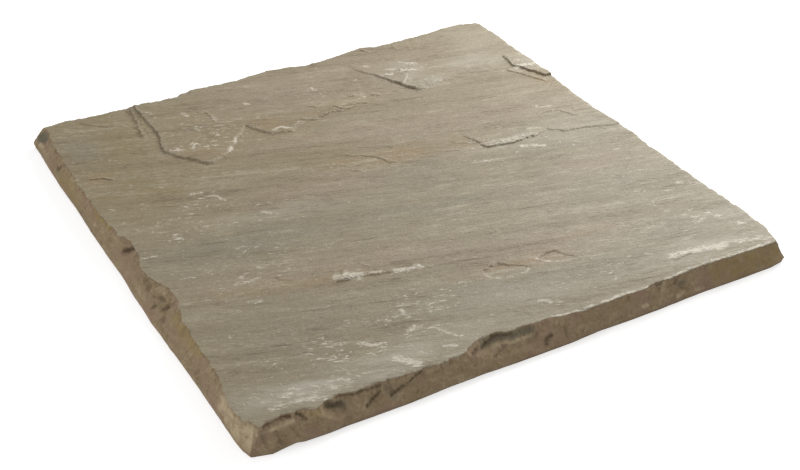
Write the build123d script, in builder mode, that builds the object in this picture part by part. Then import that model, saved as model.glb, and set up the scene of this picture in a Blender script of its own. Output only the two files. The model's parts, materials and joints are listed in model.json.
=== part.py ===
"""A riven sandstone paving slab: one quarried stone with a flat bed, hand-dressed sides and a cleft top face.

Millimetres, +Z up. The origin is the centre of the footprint, on the surface that the slab lies on.
+X runs along the front, from its left end to its right end, and +Y from the front to the back.
"""

import os

from build123d import *

# Overall sizes of a slab of 600 mm nominal, over the widest line of its dressed sides
overall_length = 606.0
overall_width = 602.0
bed_thickness = 26.0

# The dressed sides splay from the top arris down to a waist, and turn in again to the foot
least_splay = 3.0
waist_height = 6.0
foot_undercut = 1.0

# Rises of the cleft beds over the main face, each at its broken edge
back_bed_rise = 1.8
corner_bed_rise = 2.6
edge_flake_rise = 2.0
middle_bed_rise = 1.6
lower_bed_rise = 1.1

# Depth of the two leaf-shaped hollows, at their broken edge
leaf_hollow_depth = 0.9

# Spalls that the chisel broke out of the top arris
spall_radius = 70.0
spall_bite = 3.0

# Each side is walked anticlockwise. A station is (share of the side, arris setback, waist setback).
# Setbacks are measured inwards from the overall size, and the least splay is added to those of the arris.
# The front's stations end with how far the foot turns in there. The other sides turn in by the foot undercut.
front_stations = [
    (0.047, 11.6, 2.2, 2.1),
    (0.086, 12.2, 1.0, 6.0),
    (0.098, 7.0, 0.8, 4.0),
    (0.138, 4.4, 0.0, 3.8),
    (0.164, 12.2, 0.8, 3.6),
    (0.257, 11.8, 0.2, 3.3),
    (0.340, 8.6, 0.6, 4.7),
    (0.388, 12.6, 1.4, 3.9),
    (0.405, 17.6, 1.8, 3.6),
    (0.470, 18.0, 0.9, 3.1),
    (0.535, 15.8, 0.4, 3.4),
    (0.554, 12.0, 1.0, 2.8),
    (0.610, 9.4, 1.8, 3.9),
    (0.666, 10.3, 3.0, 1.7),
    (0.730, 6.4, 2.4, 2.3),
    (0.745, 10.4, 2.8, 2.0),
    (0.828, 13.4, 3.6, 2.4),
    (0.856, 11.8, 2.6, 3.2),
    (0.912, 10.3, 3.4, 1.7),
    (0.965, 9.2, 3.8, 1.5),
]
right_stations = [
    (0.026, 7.4, 3.0),
    (0.068, 1.8, 1.2),
    (0.106, 1.0, 0.5),
    (0.180, 1.8, 0.0),
    (0.253, 4.0, 1.0),
    (0.335, 3.8, 0.6),
    (0.371, 5.6, 1.8),
    (0.430, 2.8, 0.4),
    (0.507, 5.0, 1.3),
    (0.596, 7.4, 1.6),
    (0.645, 6.8, 3.0),
    (0.701, 4.4, 1.2),
    (0.749, 5.8, 2.2),
    (0.862, 4.8, 0.7),
    (0.918, 4.5, 1.0),
    (0.970, 6.8, 2.8),
]
back_stations = [
    (0.028, 11.3, 3.4),
    (0.060, 5.2, 1.4),
    (0.094, 3.8, 0.6),
    (0.135, 7.3, 1.8),
    (0.237, 9.2, 1.1),
    (0.272, 7.6, 1.3),
    (0.298, 2.2, 0.0),
    (0.337, 5.6, 0.9),
    (0.405, 10.6, 2.6),
    (0.440, 11.6, 1.8),
    (0.465, 6.4, 0.9),
    (0.510, 2.4, 0.3),
    (0.560, 5.6, 0.8),
    (0.620, 7.6, 1.6),
    (0.678, 3.4, 0.2),
    (0.715, 11.2, 2.0),
    (0.748, 12.0, 2.6),
    (0.805, 6.0, 1.0),
    (0.858, 8.2, 1.4),
    (0.934, 3.2, 0.9),
    (0.953, 5.0, 1.8),
]
left_stations = [
    (0.034, 16.0, 1.4),
    (0.088, 10.4, 0.6),
    (0.170, 10.0, 0.0),
    (0.253, 8.2, 1.6),
    (0.335, 9.2, 0.8),
    (0.418, 12.8, 1.5),
    (0.480, 16.4, 2.6),
    (0.550, 13.8, 1.2),
    (0.582, 16.6, 1.6),
    (0.628, 22.2, 1.2),
    (0.664, 22.4, 2.4),
    (0.700, 17.8, 2.6),
    (0.747, 16.6, 4.0),
    (0.830, 15.6, 5.0),
    (0.912, 8.6, 5.2),
    (0.945, 10.5, 5.6),
    (0.957, 15.6, 6.0),
    (0.967, 18.5, 6.5),
]

# Each corner, in the order that the outline reaches it: setback of the arris each way, then of the waist
front_right_corner = (10.0, 9.5, 3.4, 6.8)
back_right_corner = (9.6, 10.2, 3.0, 3.6)
back_left_corner = (10.0, 5.0, 1.2, 1.6)
front_left_corner = (17.9, 7.2, 9.6, 8.2)

# Outlines of the cleft beds, as shares of the half length and the half width. Past 1 they run off the slab.
past_edge = 1.05
back_bed_outline = [
    (-0.597, past_edge),
    (-0.598, 0.807),
    (-0.601, 0.682),
    (-0.623, 0.583),
    (-0.584, 0.517),
    (-0.519, 0.435),
    (-0.486, 0.415),
    (-0.437, 0.445),
    (-0.362, 0.517),
    (-0.280, 0.605),
    (-0.224, 0.517),
    (-0.142, 0.488),
    (-0.060, 0.535),
    (0.088, 0.560),
    (0.217, 0.590),
    (0.255, 0.700),
    (0.230, past_edge),
]
corner_bed_outline = [
    (0.285, 0.900),
    (0.300, 0.814),
    (0.348, 0.725),
    (0.381, 0.659),
    (0.437, 0.540),
    (0.500, 0.545),
    (0.568, 0.560),
    (0.720, 0.610),
    (0.640, 0.900),
]
edge_flake_outline = [
    (0.889, 0.626),
    (0.880, 0.540),
    (0.905, 0.484),
    (0.928, 0.445),
    (0.944, 0.395),
    (past_edge, 0.346),
    (past_edge, 0.640),
]
middle_bed_outline = [
    (0.404, 0.165),
    (0.424, 0.089),
    (0.434, 0.040),
    (0.463, 0.023),
    (0.529, 0.013),
    (0.660, 0.016),
    (0.709, 0.033),
    (0.758, -0.010),
    (0.872, -0.033),
    (past_edge, -0.095),
    (past_edge, 0.110),
    (0.700, 0.170),
]
lower_bed_outline = [
    (-0.427, -0.452),
    (-0.362, -0.458),
    (-0.241, -0.491),
    (-0.152, -0.517),
    (-0.100, -0.517),
    (-0.012, -0.563),
    (0.038, -0.593),
    (0.060, -0.530),
    (-0.150, -0.430),
    (-0.380, -0.400),
]
left_leaf_outline = [
    (0.008, -0.623),
    (0.038, -0.616),
    (0.074, -0.616),
    (0.093, -0.629),
    (0.142, -0.666),
    (0.169, -0.689),
    (0.126, -0.708),
    (0.077, -0.708),
    (0.038, -0.695),
    (0.011, -0.666),
]
right_leaf_outline = [
    (0.221, -0.646),
    (0.241, -0.639),
    (0.283, -0.646),
    (0.303, -0.682),
    (0.322, -0.708),
    (0.283, -0.715),
    (0.241, -0.708),
    (0.218, -0.682),
    (0.198, -0.659),
]

# Spalls along the top arris, as shares of the front from its left end and of the left side from its back end
front_spall_shares = [0.075, 0.162, 0.425, 0.735]
left_spall_shares = [0.476, 0.634]


def face_point(share):
    """The point on the slab in plan that has these shares of the half length and the half width."""
    return Vector(share[0] * overall_length / 2, share[1] * overall_width / 2, 0)


def face_outline(shares):
    """The points of a bed's outline, in plan."""
    return [face_point(share) for share in shares]


def setback_at(station, reach, at_foot):
    """A station's setback. The reach is 0 at the waist and 1 at the arris of the main face."""
    share, arris, waist = station[:3]
    if at_foot:
        return waist + (station[3] if len(station) > 3 else foot_undercut)
    return waist + (arris + least_splay - waist) * reach


def corner_setbacks(corner, reach, at_foot):
    """A corner's setbacks from the ends and from the front or back."""
    arris_x, arris_y, waist_x, waist_y = corner
    if at_foot:
        return waist_x + foot_undercut, waist_y + foot_undercut
    along = waist_x + (arris_x + least_splay - waist_x) * reach
    across = waist_y + (arris_y + least_splay - waist_y) * reach
    return along, across


def side_outline(reach, at_foot=False):
    """The slab's outline in plan: at the foot, or else at a reach of 0 at the waist and 1 at the arris."""
    half_length, half_width = overall_length / 2, overall_width / 2
    points = []
    for station in front_stations:
        setback = setback_at(station, reach, at_foot)
        points.append((-half_length + station[0] * overall_length, -half_width + setback))
    along, across = corner_setbacks(front_right_corner, reach, at_foot)
    points.append((half_length - along, -half_width + across))
    for station in right_stations:
        setback = setback_at(station, reach, at_foot)
        points.append((half_length - setback, -half_width + station[0] * overall_width))
    along, across = corner_setbacks(back_right_corner, reach, at_foot)
    points.append((half_length - along, half_width - across))
    for station in back_stations:
        setback = setback_at(station, reach, at_foot)
        points.append((half_length - station[0] * overall_length, half_width - setback))
    along, across = corner_setbacks(back_left_corner, reach, at_foot)
    points.append((-half_length + along, half_width - across))
    for station in left_stations:
        setback = setback_at(station, reach, at_foot)
        points.append((-half_length + setback, half_width - station[0] * overall_width))
    along, across = corner_setbacks(front_left_corner, reach, at_foot)
    points.append((-half_length + along, -half_width + across))
    return points


def arris_setback(stations, share):
    """The setback of the arris at any share of a side, between that side's stations."""
    for before, after in zip(stations[:-1], stations[1:]):
        if before[0] <= share <= after[0]:
            part = (share - before[0]) / (after[0] - before[0])
            return least_splay + before[1] + (after[1] - before[1]) * part
    return least_splay + stations[0][1]


def dipping_plane(full_share, level_share, rise):
    """A plane that stands the rise above the main face at one point, and meets that face at the other."""
    full_point = face_point(full_share) + Vector(0, 0, bed_thickness + rise)
    level_point = face_point(level_share) + Vector(0, 0, bed_thickness)
    dip = level_point - full_point
    strike = Vector(-dip.Y, dip.X, 0)
    normal = dip.cross(strike)
    if normal.Z < 0:
        normal = normal * -1
    return Plane(origin=full_point, x_dir=strike, z_dir=normal)


raised_beds = [
    (back_bed_outline, dipping_plane((-0.500, 0.480), (0.300, 0.900), back_bed_rise)),
    (corner_bed_outline, dipping_plane((0.420, 0.550), (0.525, 0.750), corner_bed_rise)),
    (edge_flake_outline, dipping_plane((0.900, 0.500), (0.900, 0.950), edge_flake_rise)),
    (middle_bed_outline, dipping_plane((0.470, 0.020), (0.503, 0.136), middle_bed_rise)),
    (lower_bed_outline, dipping_plane((-0.360, -0.458), (-0.342, -0.416), lower_bed_rise)),
]
leaf_hollows = [
    (left_leaf_outline, dipping_plane((0.070, -0.620), (0.077, -0.712), -leaf_hollow_depth)),
    (right_leaf_outline, dipping_plane((0.265, -0.640), (0.265, -0.718), -leaf_hollow_depth)),
]
crest_height = bed_thickness + max(corner_bed_rise, edge_flake_rise, middle_bed_rise, back_bed_rise) + 1.0


# The cleft stone: the main bed, the raised beds that dip into it and the leaf hollows
with BuildPart() as cleft_stone:
    with BuildSketch(Plane.XY):
        Rectangle(overall_length * 1.2, overall_width * 1.2)
    extrude(amount=bed_thickness)
    for bed_shares, bed_top in raised_beds:
        with BuildPart(mode=Mode.ADD):
            with BuildSketch(Plane.XY.offset(bed_thickness / 2)):
                with BuildLine():
                    Polyline(*face_outline(bed_shares), close=True)
                make_face()
            extrude(amount=bed_thickness)
            split(bisect_by=bed_top, keep=Keep.BOTTOM)
    for hollow_shares, hollow_floor in leaf_hollows:
        with BuildPart(mode=Mode.SUBTRACT):
            with BuildSketch(Plane.XY.offset(bed_thickness / 2)):
                with BuildLine():
                    Polyline(*face_outline(hollow_shares), close=True)
                make_face()
            extrude(amount=bed_thickness)
            split(bisect_by=hollow_floor, keep=Keep.TOP)

# The dressed sides: foot, waist and crest
with BuildPart() as slab:
    crest_reach = (crest_height - waist_height) / (bed_thickness - waist_height)
    with BuildSketch(Plane.XY):
        with BuildLine():
            Polyline(*side_outline(0.0, at_foot=True), close=True)
        make_face()
    with BuildSketch(Plane.XY.offset(waist_height)):
        with BuildLine():
            Polyline(*side_outline(0.0), close=True)
        make_face()
    with BuildSketch(Plane.XY.offset(crest_height)):
        with BuildLine():
            Polyline(*side_outline(crest_reach), close=True)
        make_face()
    loft(ruled=True)
    add(cleft_stone.part, mode=Mode.INTERSECT)

    # Spalls along the front and left arrises, each a ball that stands up and out at 45 degrees
    spall_offset = (spall_radius - spall_bite) / 2**0.5
    for spall_share in front_spall_shares:
        spall_x = overall_length * (spall_share - 0.5)
        spall_y = -overall_width / 2 + arris_setback(front_stations, spall_share) - spall_offset
        with Locations((spall_x, spall_y, bed_thickness + spall_offset)):
            Sphere(radius=spall_radius, mode=Mode.SUBTRACT)
    for spall_share in left_spall_shares:
        spall_x = -overall_length / 2 + arris_setback(left_stations, spall_share) - spall_offset
        spall_y = overall_width * (0.5 - spall_share)
        with Locations((spall_x, spall_y, bed_thickness + spall_offset)):
            Sphere(radius=spall_radius, mode=Mode.SUBTRACT)

slab.part.label = "paving_slab"
os.makedirs("parts", exist_ok=True)
export_step(slab.part, "parts/paving_slab.step")
slab_box = slab.part.bounding_box()
print("solids", len(slab.part.solids()), "faces", len(slab.part.faces()), "box", slab_box.min, slab_box.max)
print("volume", slab.part.volume)
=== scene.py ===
"""A riven sandstone paving slab in a plain studio.

The slab is one piece of stone. A square blank is laid out with the edit-mode operators, and then its
cleft face and its hand-dressed sides are shaped from noise, from the solid's own faces and from the
broken beds, bites and scuffs listed here. Places in the lists are millimetres in the slab's frame.
A line ends its row: the x and y of each of its points in turn, or the place along and the height.
"""

import itertools
import json
import logging
import math
from dataclasses import dataclass, field
from enum import Enum

import bpy
import numpy as np
from mathutils import Matrix, Vector
from mathutils.bvhtree import BVHTree

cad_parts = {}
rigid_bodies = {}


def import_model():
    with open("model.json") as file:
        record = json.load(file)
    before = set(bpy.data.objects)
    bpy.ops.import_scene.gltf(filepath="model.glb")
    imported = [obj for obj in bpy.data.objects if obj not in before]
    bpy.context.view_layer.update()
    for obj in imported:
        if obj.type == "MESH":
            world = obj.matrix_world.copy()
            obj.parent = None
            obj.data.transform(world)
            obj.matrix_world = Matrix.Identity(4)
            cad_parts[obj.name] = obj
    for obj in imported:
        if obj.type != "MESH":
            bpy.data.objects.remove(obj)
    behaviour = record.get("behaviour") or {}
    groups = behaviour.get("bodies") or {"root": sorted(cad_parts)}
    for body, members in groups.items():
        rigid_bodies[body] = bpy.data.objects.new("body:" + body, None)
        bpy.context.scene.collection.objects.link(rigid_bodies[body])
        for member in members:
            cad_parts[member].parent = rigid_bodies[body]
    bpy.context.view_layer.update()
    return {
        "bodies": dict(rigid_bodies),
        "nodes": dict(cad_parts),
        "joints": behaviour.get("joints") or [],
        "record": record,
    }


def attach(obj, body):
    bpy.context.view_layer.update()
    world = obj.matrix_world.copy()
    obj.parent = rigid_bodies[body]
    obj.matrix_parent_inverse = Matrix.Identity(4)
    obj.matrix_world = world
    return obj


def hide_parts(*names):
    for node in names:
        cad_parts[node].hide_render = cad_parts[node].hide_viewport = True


log = logging.getLogger("paving_slab")

MM = 0.001
SLAB_NODE = "paving_slab"
BEDDING_LEAN = 0.27
BEDDING_CURVE = 0.15

Point = tuple[float, float]
Span = tuple[float, float]
Space = tuple[float, float, float]
Tint = tuple[float, float, float]
Row = tuple[float, ...]
Socket = bpy.types.NodeSocket
Feeds = dict[str | int, object]


class Side(Enum):
    """The dressed sides of the slab, in the order that its outline is walked."""

    FRONT = 0
    RIGHT = 1
    BACK = 2
    LEFT = 3


class Region(Enum):
    """The parts of the stone's surface, each with its own finish. The value is the material slot."""

    CLEFT_FACE = 0
    DRESSED_SIDE = 1
    BED = 2


class Mask(Enum):
    """What the finishes read off the stone's shape. The value is the name of the mask."""

    CHALK = "chalk"
    CREST = "crest"
    # The hollow mask darkens the cleft face's crevices and the sides' pockets as painted shade.
    HOLLOW_SHADE = "hollow"
    STEP_GAP = "step gap"
    # The step mark sets how strongly a broken edge gets a painted shadow at its foot and a pale lip on its
    # bed.
    STEP_MARK = "step mark"


class SideTone(Enum):
    """A mark on a dressed side. The value is the name of its mask."""

    # Crack marks: real cracks, and painted shadow along the top under the overhanging arris.
    CRACK_AND_SHADE = "side crack"
    # Grey marks: painted shade in pockets under the arris.
    GREY_SHADE = "side grey"
    # Pale marks: pale stone, and painted highlights on ledges that catch the light.
    PALE_AND_HIGHLIGHT = "side pale"
    OLIVE = "side olive"


class Tone(Enum):
    """A tint or mark that lies on the cleft face in patches. The value is the name of its mask."""

    # Olive lies mostly over the left half, where it is partly painted shade for the weaker light there.
    OLIVE = "olive tone"
    MAUVE = "mauve tone"
    SLATE = "slate tone"
    RUST = "rust tone"
    # Pale haze: a pale bloom on the stone, and painted sheen towards the right side.
    HAZE_AND_SHEEN = "pale haze"
    FLECKS = "fleck density"


class Effect(Enum):
    """An effect that the finishes share. The value is the name of its node group."""

    STREAKS = "bedding streaks"
    CHIPS = "chisel mottle"
    GRAIN = "sand grain"
    STEPS = "broken steps"
    FLECKS = "pale flecks"


def smooth_step(low: float, high: float, value: np.ndarray) -> np.ndarray:
    """Eases from 0 at the low value to 1 at the high one.

    Args:
        low: Where the step starts.
        high: Where it ends. It may be below the low value, which turns the step round.
        value: The values to ease.

    Returns:
        The eased values, from 0 to 1.
    """
    part = np.clip((value - low) / (high - low), 0.0, 1.0)
    return part * part * (3.0 - 2.0 * part)


def linear_tint(red: float, green: float, blue: float) -> Tint:
    """Turns a colour as it looks on a screen, from 0 to 255, into scene-linear values from 0 to 1."""
    shares = [channel / 255.0 for channel in (red, green, blue)]
    return tuple(s / 12.92 if s <= 0.04045 else ((s + 0.055) / 1.055) ** 2.4 for s in shares)


def paired(numbers: Row) -> tuple[Point, ...]:
    """Pairs up the numbers of a row as points."""
    return tuple(zip(numbers[::2], numbers[1::2]))


def along_bedding(places: np.ndarray) -> np.ndarray:
    """Bends places in plan so that their second part follows the bedding."""
    x, y = places[:, 0], places[:, 1]
    return np.stack([x, y + BEDDING_LEAN * x - BEDDING_CURVE * x * x * MM], axis=1)


class StoneNoise:
    """Smooth noise that is the same on every run."""

    TABLE = 256
    STRETCH = 1.6
    OCTAVE_SHIFT = 17.3

    def __init__(self, seed: int) -> None:
        """Lays out the table of slopes.

        Args:
            seed: The number that picks this noise.
        """
        chance = np.random.default_rng(seed)
        self.order = np.tile(chance.permutation(self.TABLE), 2)
        slopes = chance.normal(size=(self.TABLE, 3))
        self.slopes = slopes / np.linalg.norm(slopes, axis=1, keepdims=True)

    def at(self, points: np.ndarray) -> np.ndarray:
        """The noise at each point, about -1 to 1, with features about one unit across.

        Args:
            points: Points with two or three coordinates each.

        Returns:
            One value per point.
        """
        sides = points.shape[1]
        cell = np.floor(points).astype(np.int64)
        part = points - cell
        ease = part * part * part * (part * (part * 6.0 - 15.0) + 10.0)
        total = np.zeros(len(points))
        for corner in itertools.product((0, 1), repeat=sides):
            index = np.zeros(len(points), dtype=np.int64)
            weight = np.ones(len(points))
            for axis, step in enumerate(corner):
                index = self.order[(index + cell[:, axis] + step) & (self.TABLE - 1)]
                weight = weight * (ease[:, axis] if step else 1.0 - ease[:, axis])
            slope = self.slopes[index, :sides]
            total += weight * np.einsum("ij,ij->i", part - np.array(corner), slope)
        return total * self.STRETCH

    def fractal(self, points: np.ndarray, octaves: int, gain: float) -> np.ndarray:
        """Noise with finer noise added to it.

        Args:
            points: Points with two or three coordinates each.
            octaves: How many sizes of noise are added up.
            gain: The strength of each size beside the one before.

        Returns:
            One value per point, about -1 to 1.
        """
        total = np.zeros(len(points))
        strength, reach = 1.0, 0.0
        for octave in range(octaves):
            total += strength * self.at(points * 2.0**octave + self.OCTAVE_SHIFT * octave)
            reach += strength
            strength *= gain
        return total / reach


@dataclass(frozen=True)
class Grain:
    """A random texture of the relief: its seed, the size of its features, and how finer ones are added."""

    seed: int
    size: float | Row
    octaves: int = 3
    gain: float = 0.6
    offset: float = 0.0

    def over(self, places: np.ndarray) -> np.ndarray:
        """The texture at each place, about -1 to 1."""
        points = places / np.array(self.size) + self.offset
        return StoneNoise(self.seed).fractal(points, self.octaves, self.gain)


@dataclass(frozen=True)
class BrokenEdge:
    """A line where a thin bed broke away. The bed that is left stands on the left of the line's direction.

    A rise of 0 marks an edge that the solid has already, and one below 0 cuts the ground on its right down.
    The mark is a painted shadow at the edge's foot and a pale lip on the bed, and the width is that of the
    mark beside a plain one. A slope is how far a worn edge of the solid is eased.
    """

    points: tuple[Point, ...]
    mark: float
    width: float
    rise: float = 0.0
    feather: float = 16.0
    slope: float = 0.0


@dataclass(frozen=True)
class ChiselBite:
    """A shell-shaped flake out of a side. Its place along is x on the front and back, and y on the others."""

    side: Side
    along: float
    height: float
    half_length: float
    half_height: float
    depth: float


def line_distance(places: np.ndarray, points: tuple[Point, ...]) -> tuple[np.ndarray, np.ndarray, np.ndarray]:
    """Measures how each place lies to a line of points.

    Args:
        places: Places in plan, one per row.
        points: The line's points.

    Returns:
        The distance, the side (1 on the line's left, -1 on its right) and the share of its length.
    """
    line = np.array(points, dtype=float)
    lengths = np.linalg.norm(np.diff(line, axis=0), axis=1)
    whole = lengths.sum()
    nearest = np.full(len(places), np.inf)
    side = np.ones(len(places))
    share = np.zeros(len(places))
    walked = 0.0
    for start, end, length in zip(line[:-1], line[1:], lengths):
        run = (end - start) / length
        from_start = places - start
        along = np.clip(from_start @ run, 0.0, length)
        gap = from_start - along[:, None] * run
        distance = np.hypot(gap[:, 0], gap[:, 1])
        closer = distance < nearest
        turn = run[0] * from_start[:, 1] - run[1] * from_start[:, 0]
        nearest = np.where(closer, distance, nearest)
        side = np.where(closer, np.where(turn >= 0.0, 1.0, -1.0), side)
        share = np.where(closer, (walked + along) / whole, share)
        walked += length
    return nearest, side, share


def spread_from(places: np.ndarray, centre: Point, reach: Point, turn: float) -> np.ndarray:
    """Measures how far out each place is from the middle of an oval patch.

    Args:
        places: Places in plan, one per row.
        centre: The patch's middle.
        reach: Its half length and half width.
        turn: How far it is turned, in radians.

    Returns:
        The distance, which is 1 on the patch's outline.
    """
    offset = places - np.array(centre)
    turned_x = offset[:, 0] * math.cos(turn) + offset[:, 1] * math.sin(turn)
    turned_y = offset[:, 1] * math.cos(turn) - offset[:, 0] * math.sin(turn)
    return np.hypot(turned_x / reach[0], turned_y / reach[1])


class SolidProbe:
    """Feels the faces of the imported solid, so that the stone follows it. It works in millimetres."""

    ABOVE = 0.1

    def __init__(self, node: bpy.types.Object) -> None:
        """Builds the search tree.

        Args:
            node: The solid's object, at the origin.
        """
        mesh = node.data
        mesh.calc_loop_triangles()
        corners = [vertex.co.copy() for vertex in mesh.vertices]
        faces = [tuple(triangle.vertices) for triangle in mesh.loop_triangles]
        self.tree = BVHTree.FromPolygons(corners, faces, all_triangles=True)

    def face_height(self, places: np.ndarray) -> np.ndarray:
        """The height of the upper face over each place in plan.

        Args:
            places: Places in plan.

        Returns:
            The heights, or no number off the solid.
        """
        down = Vector((0.0, 0.0, -1.0))
        hits = (self.tree.ray_cast(Vector((x, y, self.ABOVE)), down)[0] for x, y in places * MM)
        return np.array([np.nan if hit is None else hit.z for hit in hits]) / MM

    def side_distance(self, starts: np.ndarray, ways: np.ndarray) -> np.ndarray:
        """How far the side is from points inside the stone.

        Args:
            starts: Where each look starts.
            ways: The level unit direction of each look.

        Returns:
            The distances, or no number where nothing is hit.
        """
        looks = zip(starts * MM, ways)
        hits = [self.tree.ray_cast(Vector(start), Vector((*way, 0.0)))[3] for start, way in looks]
        return np.array([np.nan if hit is None else hit for hit in hits]) / MM


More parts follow.
